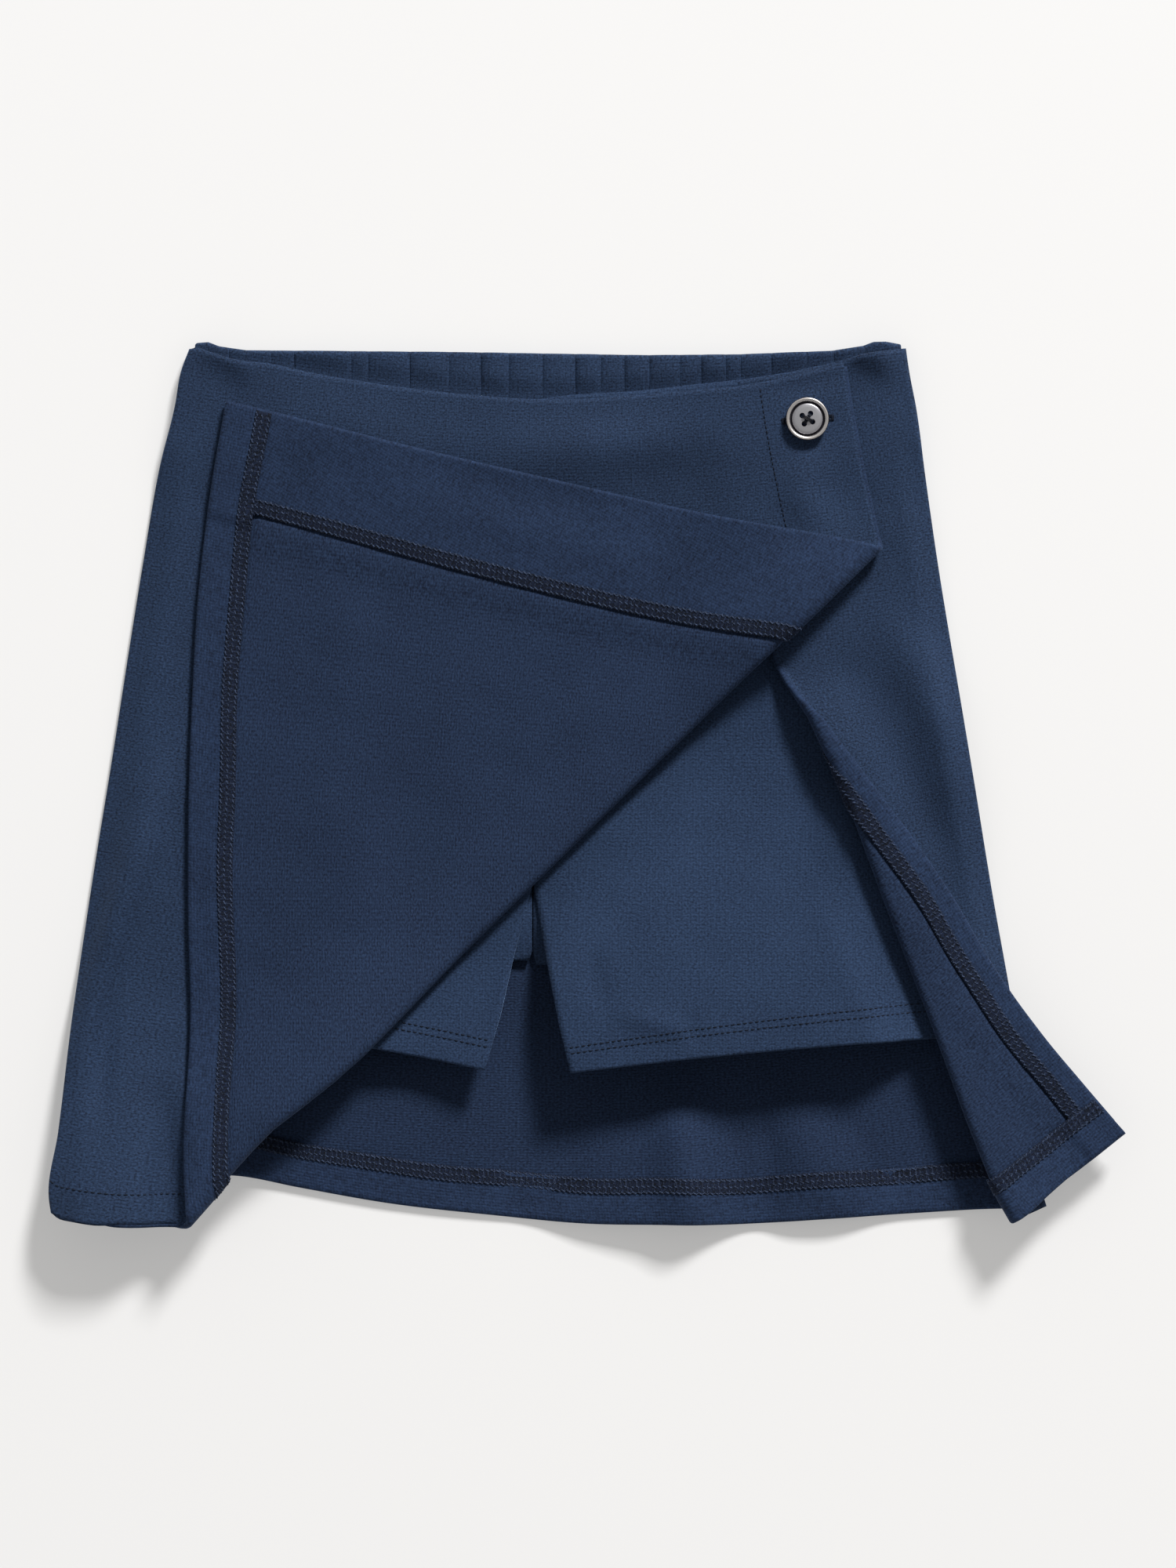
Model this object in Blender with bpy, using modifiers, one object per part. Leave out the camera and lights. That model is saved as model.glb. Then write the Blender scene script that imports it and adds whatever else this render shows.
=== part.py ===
"""A child's wrap-front skort, laid flat on a table with its front folded back.

Skirt of double-knit cloth: a back panel with an elastic waistband, a narrow under panel on one side and
a full over panel that wraps across it to a metal button. Shorts of jersey hang inside. The lower corner of
the over panel is folded back over itself, and the free corner of the under panel is flipped out.

Every panel is cut as a flat pattern. Its points are placed on the pattern, the pattern is rolled over its
fold line, and the sheet then gets its thickness. The table is z = 0 and the waist points to +Y.
"""

import math

import bmesh
import bpy
import numpy as np

MM = 0.001

# Cloth, in millimetres.
SKIRT_CLOTH = 1.2
TURNED_CLOTH = 1.0
SHORTS_CLOTH = 1.0
ROLL_RADIUS = 2.4
FOLDED_GAP = 2.0
STRIP_OFFSET = -1.6

# Heights of the middle of each layer above the table, in millimetres.
BACK_HEIGHT = 0.6
ON_BACK_HEIGHT = 2.1
CASING_HEIGHT = 2.5
SHORTS_FRONT_HEIGHT = 3.5
FRONT_HEIGHT = 5.2
SIDE_SEAM_HEIGHT = 2.2
UNDER_PANEL_STEP = 1.8
BAND_STEP = 1.5
WAIST_STEP = 1.4
WAIST_SIDE_STEP = 3.7

# Widths of bands and of the slopes beside them, in millimetres.
HEM_WIDTH = 17.5
OVER_FACING_WIDTH = 39.5
OVER_FACING_BOW = 3.5
UNDER_FACING_WIDTH = 12.5
CASING_DROP = 31.0
CASING_THICKNESS = 1.8
GATHER_SWELL = 0.5
FREE_GATHER_SWELL = 1.4
FREE_GATHER_SLOPE = 6.0
SIDE_ROUND = 12.0
BAND_SLOPE = 26.0
UNDER_BAND_SLOPE = 26.0
EDGE_SLOPE = 36.0
EDGE_MARGIN = 4.0
WAIST_SLOPE = 30.0
CASING_FOOT = 133.0
SETTLE_LENGTH = 30.0
CORNER_CURL = 3.0
CORNER_CURL_LENGTH = 45.0

# Outline of the skirt, as (x, y) in millimetres from the waist down.
LEFT_SIDE = (
    (-151.6, 165.6), (-154.5, 158.0), (-157.1, 143.9), (-163.1, 119.9), (-169.4, 83.9), (-175.2, 47.9),
    (-180.8, 11.9), (-188.6, -36.2), (-195.5, -84.2), (-200.9, -132.2), (-204.8, -163.7),
)
RIGHT_SIDE = (
    (122.3, 166.2), (123.5, 157.9), (126.2, 143.9), (129.5, 119.9), (134.7, 83.9), (140.6, 47.9),
    (146.4, 11.9), (154.4, -36.2), (162.3, -84.2), (169.2, -132.2), (173.9, -162.2),
)
BACK_WAIST = (
    (-151.6, 165.6), (-148.6, 168.5), (-144.5, 168.8), (-140.3, 167.2), (-130.0, 165.7), (-98.0, 165.4),
    (-50.0, 165.0), (-14.0, 164.4), (22.0, 163.8), (58.0, 164.1), (94.0, 165.5), (106.0, 167.4),
    (110.0, 168.9), (114.6, 169.0), (120.0, 168.0), (122.3, 166.2),
)
BACK_HEM = (
    (-204.8, -163.7), (-190.0, -156.0), (-170.0, -151.0), (-150.0, -149.4), (-134.0, -149.8),
    (-110.0, -154.4), (-74.0, -160.7), (-38.0, -164.8), (-2.0, -168.0), (34.0, -168.3), (58.0, -168.4),
    (94.0, -166.2), (130.0, -164.0), (154.0, -162.6), (173.9, -162.2),
)
OVER_WAIST = (
    (-151.6, 165.6), (-148.5, 166.3), (-143.8, 164.7), (-135.6, 162.0), (-120.8, 160.3), (-102.8, 156.4),
    (-83.7, 153.2), (-56.3, 149.6), (-32.3, 147.4), (-8.3, 146.5), (15.8, 148.0), (39.8, 149.9),
    (61.4, 152.0), (79.4, 155.6), (99.2, 160.7),
)
OVER_FREE_EDGE = (
    (99.2, 160.7), (101.3, 146.9), (105.8, 122.9), (113.3, 88.4), (124.2, 23.0), (135.2, -31.4),
    (146.6, -85.7), (158.9, -139.8), (163.6, -161.0),
)
OVER_HEM = (
    (-204.8, -163.7), (-194.3, -166.4), (-182.3, -168.0), (-149.3, -168.8), (-127.0, -170.2),
    (-91.0, -170.0), (-73.0, -169.8), (-37.0, -171.4), (-1.1, -172.2), (53.0, -171.6), (89.0, -170.2),
    (125.1, -166.7), (163.6, -161.0),
)
UNDER_WAIST = (
    (56.5, 153.6), (79.4, 157.4), (94.1, 160.7), (106.0, 163.6), (122.3, 166.2),
)
UNDER_FREE_EDGE = (
    (56.5, 153.6), (62.0, 112.0), (66.5, 78.0), (71.4, 47.0), (76.0, 22.0), (80.2, -5.0), (84.2, -40.0),
    (88.0, -64.0), (93.6, -88.0), (97.0, -106.0), (99.4, -126.0), (100.8, -150.0), (102.0, -175.4),
)
UNDER_HEM = (
    (102.0, -175.4), (121.9, -173.1), (140.3, -170.4), (152.4, -168.9), (163.0, -166.0), (173.9, -162.2),
)

# Fold lines: where each line starts and ends, and the side of it on which the cloth is turned over.
OVER_FOLD = {"start": (109.5, 92.2), "end": (-153.0, -164.9), "side": 1.0}
UNDER_FOLD = {"start": (74.0, 48.4), "end": (160.4, -161.3), "side": -1.0}

# The turned-over corner of the under panel is pushed aside by this much: (y, push to the right).
UNDER_PUSH = (
    (-172.0, 4.2), (-150.0, 0.6), (-128.0, 0.9), (-91.0, 2.7), (-67.0, 3.3), (-43.0, 4.1), (-18.0, 5.4),
    (6.0, 6.2), (25.0, 5.6), (48.0, 0.0),
)
PUSH_REACH = 45.0

# Flutes where the hem stands off the table:
# (name, centre x, run to the left, run to the right, top y, reach down, height).
FLUTES = (
    ("left corner", -190.0, 95.0, 78.0, -66.0, 100.0, 15.0),
    ("back middle", 30.0, 60.0, 42.0, -112.0, 56.0, 6.5),
    ("back right", 84.0, 26.0, 40.0, -118.0, 50.0, 2.5),
    ("right corner", 178.0, 42.0, 60.0, -112.0, 55.0, 3.0),
)

# The hems of the shorts stand off the back panel where no front panel lies on them.
LEG_LIFT = 8.0
LEG_SLOPE = 36.0
LEG_TOP = -40.0
LEG_REACH = 55.0
LEG_RIGHT = 122.0
LEG_CLEAR = 8.0

# Strips of turned cloth: where each starts and stops, as fractions across a hem or down a free edge.
BACK_HEM_SPAN = (0.03, 0.985)
OVER_HEM_SPAN = (0.04, 1.0)
UNDER_HEM_SPAN = (0.0, 0.80)
OVER_FACING_SPAN = (0.005, 0.94)
UNDER_FACING_SPAN = (0.02, 0.94)
INWARD_STEP = 0.03

# Gathers of the back waistband: x of each crease of the casing, in millimetres.
GATHER_CREASES = (
    -149.0, -136.4, -120.2, -111.4, -89.6, -83.1, -67.2, -52.5, -39.8, -29.6, -16.5, -3.8, 5.5, 14.9, 24.2,
    35.8, 44.3, 53.3, 59.1, 71.0, 84.0, 95.0, 106.7, 120.0,
)
POINTS_PER_GATHER = 3
GATHER_FULLNESS = 0.7
CASING_TOP_INSET = 0.4
FREE_GATHER_START = 1.5

# Legs of the shorts: (fraction down the leg, x, y) along the inner and the outer edge, photo left leg first.
FRONT_INNER_LEFT = (
    (0.0, -20.2, 145.2), (0.3, -20.2, 70.0), (0.7, -20.5, -39.0), (0.8125, -27.8, -66.8),
    (0.9, -32.6, -88.0), (1.0, -38.5, -109.0),
)
FRONT_INNER_RIGHT = (
    (0.0, -19.6, 146.8), (0.3, -19.7, 70.0), (0.7, -19.9, -39.0), (0.8125, -14.6, -69.0),
    (0.9, -10.2, -92.0), (1.0, -5.9, -109.7),
)
BACK_INNER_LEFT = (
    (0.0, -20.4, 131.5), (0.8125, -20.6, -67.8), (0.875, -29.0, -67.4), (0.94, -35.0, -88.0),
    (1.0, -41.0, -104.0),
)
BACK_INNER_RIGHT = (
    (0.0, -20.0, 131.5), (0.8125, -20.1, -69.0), (0.875, -12.2, -69.4), (0.94, -8.0, -90.0),
    (1.0, -3.4, -104.0),
)
OUTER_LEFT = ((0.0, -141.0, 160.2), (0.13, -147.0, 126.0), (0.5, -160.0, 40.0), (1.0, -172.0, -86.0))
OUTER_RIGHT = ((0.0, 110.0, 160.5), (0.13, 114.0, 126.0), (0.5, 128.0, 40.0), (1.0, 143.0, -96.8))
BACK_OUTER_LEFT = ((0.0, -147.0, 131.5), (0.5, -160.0, 40.0), (1.0, -170.0, -84.0))
BACK_OUTER_RIGHT = ((0.0, 113.5, 131.5), (0.5, 128.0, 40.0), (1.0, 141.0, -93.0))
SHORTS_WAIST_LEFT = ((-141.0, 160.2), (-120.8, 158.6), (-83.7, 151.6), (-56.3, 148.0), (-20.2, 145.2))
SHORTS_WAIST_RIGHT = ((-19.6, 146.8), (19.7, 149.0), (39.5, 151.4), (61.4, 152.6), (85.0, 156.4),
                      (110.0, 160.5))
HEM_LEFT = ((-172.0, -86.0), (-120.0, -95.0), (-80.3, -101.0), (-38.5, -109.0))
HEM_RIGHT = ((-5.9, -109.7), (45.8, -103.9), (105.8, -98.8), (143.0, -96.8))
BACK_HEM_LEFT = ((-170.0, -84.0), (-110.0, -92.0), (-41.0, -104.0))
BACK_HEM_RIGHT = ((-3.4, -104.0), (60.0, -98.0), (141.0, -93.0))
BACK_TOP_LEFT = ((-147.0, 131.5), (-20.4, 131.5))
BACK_TOP_RIGHT = ((-20.0, 131.5), (113.5, 131.5))

# Button, in millimetres. Its profile is (radius, height above its foot), from the middle of its face
# out over the groove and the rim, and back under to the middle.
BUTTON_CENTRE = (84.6, 139.7)
BUTTON_RADIUS = 8.2
BUTTON_PROFILE = (
    (0.0, 2.12), (4.7, 2.12), (6.1, 1.8), (7.1, 2.45), (7.65, 2.6), (BUTTON_RADIUS, 2.1),
    (BUTTON_RADIUS, 0.9), (7.0, 0.0), (0.0, 0.0),
)
BUTTON_STEPS = 32
BUTTON_GAP = 0.35
HOLE_COUNT = 4
HOLE_RADIUS = 0.95
HOLE_SIDES = 12
HOLE_CIRCLE = 2.5
HOLE_TURN = math.radians(60.0)
DRILL_LENGTH = 10.0
SEAT_SPOTS = 12

# Grid sizes: cells across and down each piece, or rows across a strip.
CELLS = {
    "back_panel": (30, 18), "over_panel": (34, 28), "under_panel": (12, 24), "leg": (6, 20),
    "back_hem": (38, 2), "casing_rows": 3, "strip_rows": 2,
}
ROLL_STEPS = 5
MERGE_DISTANCE = 0.00025

# Finishes: (linear colour, roughness, metallic).
SKIRT_FINISH = ((0.024, 0.043, 0.095), 0.9, 0.0)
SHORTS_FINISH = ((0.026, 0.045, 0.09), 0.95, 0.0)
BUTTON_FINISH = ((0.45, 0.43, 0.42), 0.35, 1.0)


def ease(u):
    """A smooth step: 0 below 0, 1 above 1."""
    u = min(max(u, 0.0), 1.0)
    return u * u * (3.0 - 2.0 * u)


class Edge:
    """A smooth curve through the rows of a table, run by length from 0 to 1."""

    def __init__(self, rows):
        self.points = np.array(rows, float)
        steps = np.hypot(*np.diff(self.points, axis=0).T)
        self.knots = np.concatenate([[0.0], np.cumsum(steps)]) / steps.sum()
        if len(rows) > 2:
            self.slopes = np.gradient(self.points, self.knots, axis=0)
        else:
            self.slopes = np.tile(self.points[1] - self.points[0], (2, 1))

    def at(self, u):
        u = min(max(u, 0.0), 1.0)
        i = min(int(np.searchsorted(self.knots, u, side="right")) - 1, len(self.knots) - 2)
        span = self.knots[i + 1] - self.knots[i]
        v = (u - self.knots[i]) / span
        ends = (2 * v**3 - 3 * v**2 + 1) * self.points[i] + (3 * v**2 - 2 * v**3) * self.points[i + 1]
        bends = (v**3 - 2 * v**2 + v) * self.slopes[i] + (v**3 - v**2) * self.slopes[i + 1]
        return ends + bends * span

    def x_at(self, y):
        """x where the curve crosses a height; the rows run down from the waist."""
        return float(np.interp(-y, -self.points[:, 1], self.points[:, 0]))


class Steps:
    """An edge whose rows give the fraction down the piece, kept sharp at its rows."""

    def __init__(self, rows):
        self.rows = np.array(rows, float)

    def at(self, u):
        return np.array([np.interp(u, self.rows[:, 0], self.rows[:, k]) for k in (1, 2)])


def patch(top, bottom, left, right):
    """Place a point at fractions across and down inside four edges."""
    corners = [[left.at(0.0), right.at(0.0)], [left.at(1.0), right.at(1.0)]]

    def place(across, down):
        ends = (1 - down) * top.at(across) + down * bottom.at(across)
        sides = (1 - across) * left.at(down) + across * right.at(down)
        upper = (1 - across) * corners[0][0] + across * corners[0][1]
        lower = (1 - across) * corners[1][0] + across * corners[1][1]
        return ends + sides - (1 - down) * upper - down * lower

    return place


LEFT_EDGE = Edge(LEFT_SIDE)
RIGHT_EDGE = Edge(RIGHT_SIDE)
OVER_EDGE = Edge(OVER_FREE_EDGE)
UNDER_EDGE = Edge(UNDER_FREE_EDGE)


def flute_lift(x, y):
    """How far the whole stack stands off the table."""
    total = 0.0
    for _, centre, run_left, run_right, top, reach, height in FLUTES:
        run = run_left if x < centre else run_right
        total += height * ease(1.0 - abs(x - centre) / run) * ease((top - y) / reach)
    return total


def waist_rise(y):
    """The front layers climb over the elastic casing at the waist."""
    return ease((y - CASING_FOOT + WAIST_SLOPE) / WAIST_SLOPE)


def side_drop(height, distance, y):
    """A front panel rounds down to the side seam near the skirt's side."""
    edge = SIDE_SEAM_HEIGHT + WAIST_SIDE_STEP * waist_rise(y)
    return edge + (height - edge) * ease(distance / SIDE_ROUND)


def under_band(x, y):
    """1 over the turned edge of the under panel, 0 away from it."""
    inside = UNDER_EDGE.x_at(y) + UNDER_FACING_WIDTH + UNDER_BAND_SLOPE - x
    return ease(inside / UNDER_BAND_SLOPE)


def under_level(x, y):
    """Height of the under panel with no side seam."""
    return FRONT_HEIGHT + BAND_STEP * under_band(x, y) + WAIST_STEP * waist_rise(y) + flute_lift(x, y)


def under_height(x, y):
    """Height of the under panel, down to its side seam."""
    lift = flute_lift(x, y)
    return side_drop(under_level(x, y) - lift, RIGHT_EDGE.x_at(y) - x, y) + lift


def over_height(x, y):
    """Height of the over panel: it steps up on to the under panel and on to its own facing."""
    on_under = ease((x - UNDER_EDGE.x_at(y) + EDGE_MARGIN + EDGE_SLOPE) / EDGE_SLOPE)
    on_facing = ease((x - OVER_EDGE.x_at(y) + OVER_FACING_WIDTH + BAND_SLOPE) / BAND_SLOPE)
    level = FRONT_HEIGHT + on_under * (UNDER_PANEL_STEP + BAND_STEP * under_band(x, y))
    level += BAND_STEP * on_facing + WAIST_STEP * waist_rise(y)
    return side_drop(level, x - LEFT_EDGE.x_at(y), y) + flute_lift(x, y)


class Fold:
    """A sheet that is rolled over a straight line and lies back on itself."""

    def __init__(self, line, rest_height, lying_height, curl=0.0):
        start, end = np.array(line["start"]), np.array(line["end"])
        along = (end - start) / np.linalg.norm(end - start)
        self.start = start
        self.normal = line["side"] * np.array([-along[1], along[0]])
        self.rest_height = rest_height
        self.lying_height = lying_height
        self.curl = curl

    def past(self, flat):
        """Distance of a flat point beyond the fold line."""
        return float((flat - self.start) @ self.normal)

    def point(self, flat, offset=0.0):
        """Where a flat point lies, at an offset from the sheet's middle towards its right side."""
        past = self.past(flat)
        if past <= 0.0:
            return np.array([*flat, self.rest_height(*flat) + offset])
        foot = flat - past * self.normal
        radius = ROLL_RADIUS - offset
        angle = past / ROLL_RADIUS
        if angle < math.pi:
            place = foot + radius * math.sin(angle) * self.normal
            height = self.rest_height(*foot) + ROLL_RADIUS - radius * math.cos(angle)
            return np.array([*place, height])
        back = past - math.pi * ROLL_RADIUS
        place = foot - back * self.normal
        settle = ease(back / SETTLE_LENGTH)
        blend = ease(back / EDGE_SLOPE)
        below = (1 - blend) * self.rest_height(*foot) + blend * self.lying_height(*place)
        rise = FOLDED_GAP + (2 * ROLL_RADIUS - FOLDED_GAP) * (1 - settle)
        return np.array([*place, below + rise - offset + self.curl * ease(back / CORNER_CURL_LENGTH)])


OVER_SHEET = Fold(OVER_FOLD, over_height, over_height)
UNDER_SHEET = Fold(UNDER_FOLD, under_height, under_level, CORNER_CURL)


def over_point(flat, offset=0.0):
    return OVER_SHEET.point(flat, offset)


def under_point(flat, offset=0.0):
    """The under panel, with its flipped corner pushed aside."""
    x, y, z = UNDER_SHEET.point(flat, offset)
    rows = np.array(UNDER_PUSH)
    near = ease(1.0 + UNDER_SHEET.past(flat) / PUSH_REACH)
    return np.array([x + near * np.interp(y, rows[:, 0], rows[:, 1]), y, z])


def leg_lift(x, y):
    """How far the open end of a leg stands up, clear of the folded edges beside it."""
    from_fold = OVER_SHEET.past(np.array([x, y])) - LEG_CLEAR
    beside = ease(from_fold / LEG_SLOPE) * ease((LEG_RIGHT - x) / LEG_SLOPE)
    return LEG_LIFT * beside * ease((LEG_TOP - y) / LEG_REACH)


def level_point(height):
    """Points of a piece that lies level on the stack, and lifts with it."""

    def point(flat, offset=0.0):
        return np.array([*flat, height(*flat) + flute_lift(*flat) + offset])

    return point


def clear_scene():
    for obj in list(bpy.data.objects):
        bpy.data.objects.remove(obj, do_unlink=True)


def make_collection(name):
    collection = bpy.data.collections.new(name)
    bpy.context.scene.collection.children.link(collection)
    return collection


def make_material(name, finish):
    colour, roughness, metallic = finish
    material = bpy.data.materials.new(name)
    material.use_nodes = True
    shader = material.node_tree.nodes["Principled BSDF"]
    shader.inputs["Base Color"].default_value = (*colour, 1.0)
    shader.inputs["Roughness"].default_value = roughness
    shader.inputs["Metallic"].default_value = metallic
    return material


def cut_along_roll(bm, fold):
    """Cut the flat pattern along lines parallel to its fold, so that the roll is round."""
    length = math.pi * ROLL_RADIUS
    distances = [length * k / ROLL_STEPS for k in range(ROLL_STEPS + 1)]
    distances.append(length + SETTLE_LENGTH / 2)
    for distance in distances:
        spot = (fold.start + distance * fold.normal) * MM
        bmesh.ops.bisect_plane(
            bm,
            geom=bm.verts[:] + bm.edges[:] + bm.faces[:],
            dist=MERGE_DISTANCE,
            plane_co=(*spot, 0.0),
            plane_no=(*fold.normal, 0.0),
        )
    bmesh.ops.remove_doubles(bm, verts=bm.verts, dist=MERGE_DISTANCE)
    bmesh.ops.triangulate(bm, faces=[face for face in bm.faces if len(face.verts) > 4])


def make_sheet(name, cells, place, point, thickness, collection, fold=None, offset=0.0):
    """A piece of cloth: a grid on the flat pattern, folded, then given its thickness."""
    bm = bmesh.new()
    bmesh.ops.create_grid(bm, x_segments=cells[0], y_segments=cells[1], size=0.5)
    for vert in bm.verts:
        flat = place(vert.co.x + 0.5, 0.5 - vert.co.y)
        vert.co = (*(flat * MM), 0.0)
    if fold is not None:
        cut_along_roll(bm, fold)
    for vert in bm.verts:
        flat = np.array(vert.co[:2]) / MM
        vert.co = point(flat, offset) * MM
    mesh = bpy.data.meshes.new(name)
    bm.to_mesh(mesh)
    bm.free()
    mesh.shade_smooth()
    obj = bpy.data.objects.new(name, mesh)
    collection.objects.link(obj)
    wall = obj.modifiers.new("cloth thickness", "SOLIDIFY")
    wall.thickness = thickness * MM
    wall.offset = 0.0
    return obj


def hem_strip(place, width, span):
    """A band along the lower edge of a patch, between two fractions across."""
    start, stop = span

    def strip(across, down):
        u = start + (stop - start) * across
        edge, above = place(u, 1.0), place(u, 1.0 - INWARD_STEP)
        inward = (above - edge) / np.linalg.norm(above - edge)
        return edge + inward * width * (1.0 - down)

    return strip


def free_edge_strip(place, width, at_right, span, bow=0.0):
    """A band along a free edge of a patch, between two fractions down, wider by a bow at its middle."""
    start, stop = span
    edge_side, inner_side = (1.0, 1.0 - INWARD_STEP) if at_right else (0.0, INWARD_STEP)

    def strip(across, down):
        v = start + (stop - start) * down
        edge, within = place(edge_side, v), place(inner_side, v)
        inward = (within - edge) / np.linalg.norm(within - edge)
        share = 1.0 - across if at_right else across
        return edge + inward * (width + bow * math.sin(math.pi * v) ** 2) * share

    return strip


def make_back(collection):
    """Back panel, its turned-up hem and the elastic casing inside its waist."""
    place = patch(Edge(BACK_WAIST), Edge(BACK_HEM), LEFT_EDGE, RIGHT_EDGE)
    flat_on_table = level_point(lambda x, y: BACK_HEIGHT)
    on_back = level_point(lambda x, y: ON_BACK_HEIGHT)
    panel = make_sheet("back_panel", CELLS["back_panel"], place, flat_on_table, SKIRT_CLOTH, collection)
    strip = hem_strip(place, HEM_WIDTH, BACK_HEM_SPAN)
    hem = make_sheet("back_hem", CELLS["back_hem"], strip, on_back, TURNED_CLOTH, collection)
    return panel, hem, make_casing(collection)


def make_casing(collection):
    """The waistband casing: cloth swells between the creases that its elastic draws in."""
    gathers = len(GATHER_CREASES) - 1
    waist_rows = np.array(BACK_WAIST)
    front_rows = np.array(OVER_WAIST + UNDER_WAIST[2:])

    def place(across, down):
        x = np.interp(across * gathers, range(gathers + 1), GATHER_CREASES)
        top = np.interp(x, waist_rows[:, 0], waist_rows[:, 1])
        return np.array([x, top - CASING_TOP_INSET - CASING_DROP * down])

    def height(x, y):
        """The cloth swells more where the front's waist edge doesn't press on it."""
        spot = np.interp(x, GATHER_CREASES, range(gathers + 1)) % 1.0
        above_front = y - np.interp(x, front_rows[:, 0], front_rows[:, 1])
        free = ease((above_front - FREE_GATHER_START) / FREE_GATHER_SLOPE)
        swell = math.sin(math.pi * spot) ** GATHER_FULLNESS
        return CASING_HEIGHT + (GATHER_SWELL + FREE_GATHER_SWELL * free) * swell

    cells = (gathers * POINTS_PER_GATHER, CELLS["casing_rows"])
    return make_sheet("back_waistband", cells, place, level_point(height), CASING_THICKNESS, collection)


def make_shorts(collection):
    """The four leg pieces of the shorts: two backs, with two fronts on them."""

    def on_back(x, y):
        return ON_BACK_HEIGHT

    def in_front(x, y):
        return SHORTS_FRONT_HEIGHT + WAIST_STEP * waist_rise(y) + leg_lift(x, y)

    legs = (
        ("shorts_back_left", BACK_TOP_LEFT, BACK_HEM_LEFT, BACK_OUTER_LEFT, BACK_INNER_LEFT, on_back),
        ("shorts_back_right", BACK_TOP_RIGHT, BACK_HEM_RIGHT, BACK_INNER_RIGHT, BACK_OUTER_RIGHT, on_back),
        ("shorts_front_left", SHORTS_WAIST_LEFT, HEM_LEFT, OUTER_LEFT, FRONT_INNER_LEFT, in_front),
        ("shorts_front_right", SHORTS_WAIST_RIGHT, HEM_RIGHT, FRONT_INNER_RIGHT, OUTER_RIGHT, in_front),
    )
    made = []
    for name, top, bottom, left, right, height in legs:
        place = patch(Edge(top), Edge(bottom), Steps(left), Steps(right))
        made.append(
            make_sheet(name, CELLS["leg"], place, level_point(height), SHORTS_CLOTH, collection)
        )
    return made


def make_under(collection):
    """The under panel with its flipped corner, its turned edge and its hem."""
    place = patch(Edge(UNDER_WAIST), Edge(UNDER_HEM), UNDER_EDGE, RIGHT_EDGE)
    across, down = CELLS["under_panel"]
    panel = make_sheet("under_panel", (across, down), place, under_point, SKIRT_CLOTH, collection,
                       UNDER_SHEET)
    facing = free_edge_strip(place, UNDER_FACING_WIDTH, False, UNDER_FACING_SPAN)
    turned = make_sheet("under_facing", (CELLS["strip_rows"], down), facing, under_point, TURNED_CLOTH,
                        collection, UNDER_SHEET, STRIP_OFFSET)
    strip = hem_strip(place, HEM_WIDTH, UNDER_HEM_SPAN)
    hem = make_sheet("under_hem", (across, CELLS["strip_rows"]), strip, under_point, TURNED_CLOTH,
                     collection, UNDER_SHEET, STRIP_OFFSET)
    return panel, turned, hem


def make_over(collection):
    """The over panel with its fold, its wide facing and its hem."""
    place = patch(Edge(OVER_WAIST), Edge(OVER_HEM), LEFT_EDGE, OVER_EDGE)
    across, down = CELLS["over_panel"]
    panel = make_sheet("over_panel", (across, down), place, over_point, SKIRT_CLOTH, collection, OVER_SHEET)
    facing = free_edge_strip(place, OVER_FACING_WIDTH, True, OVER_FACING_SPAN, OVER_FACING_BOW)
    turned = make_sheet("over_facing", (CELLS["strip_rows"] * 2, down), facing, over_point, TURNED_CLOTH,
                        collection, OVER_SHEET, STRIP_OFFSET)
    strip = hem_strip(place, HEM_WIDTH, OVER_HEM_SPAN)
    hem = make_sheet("over_hem", (across, CELLS["strip_rows"]), strip, over_point, TURNED_CLOTH,
                     collection, OVER_SHEET, STRIP_OFFSET)
    return panel, turned, hem


def button_seat():
    """Height of the highest cloth under the button."""
    turns = [math.tau * k / SEAT_SPOTS for k in range(SEAT_SPOTS)]
    spots = [
        (BUTTON_CENTRE[0] + BUTTON_RADIUS * math.cos(a), BUTTON_CENTRE[1] + BUTTON_RADIUS * math.sin(a))
        for a in turns
    ]
    return max(over_height(*spot) for spot in spots) + SKIRT_CLOTH / 2


def make_button(collection, cutters):
    """A turned metal button with a raised rim, a groove and four holes."""
    bm = bmesh.new()
    verts = [bm.verts.new((radius * MM, 0.0, height * MM)) for radius, height in BUTTON_PROFILE]
    for first, second in zip(verts, verts[1:]):
        bm.edges.new((first, second))
    mesh = bpy.data.meshes.new("button")
    bm.to_mesh(mesh)
    bm.free()
    button = bpy.data.objects.new("button", mesh)
    collection.objects.link(button)
    button.location = (BUTTON_CENTRE[0] * MM, BUTTON_CENTRE[1] * MM, (button_seat() + BUTTON_GAP) * MM)
    turned = button.modifiers.new("turned", "SCREW")
    turned.steps = BUTTON_STEPS
    turned.render_steps = BUTTON_STEPS
    turned.use_merge_vertices = True
    turned.merge_threshold = 0.00001
    for k in range(HOLE_COUNT):
        angle = HOLE_TURN + k * math.tau / HOLE_COUNT
        bpy.ops.mesh.primitive_cylinder_add(
            vertices=HOLE_SIDES, radius=HOLE_RADIUS * MM, depth=DRILL_LENGTH * MM
        )
        drill = bpy.context.active_object
        drill.name = f"hole_drill_{k}"
        drill.location = (
            button.location.x + HOLE_CIRCLE * MM * math.cos(angle),
            button.location.y + HOLE_CIRCLE * MM * math.sin(angle),
            button.location.z,
        )
        drill.hide_render = True
        drill.display_type = "WIRE"
        for owner in drill.users_collection:
            owner.objects.unlink(drill)
        cutters.objects.link(drill)
        hole = button.modifiers.new(f"hole {k}", "BOOLEAN")
        hole.object = drill
    return button


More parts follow.
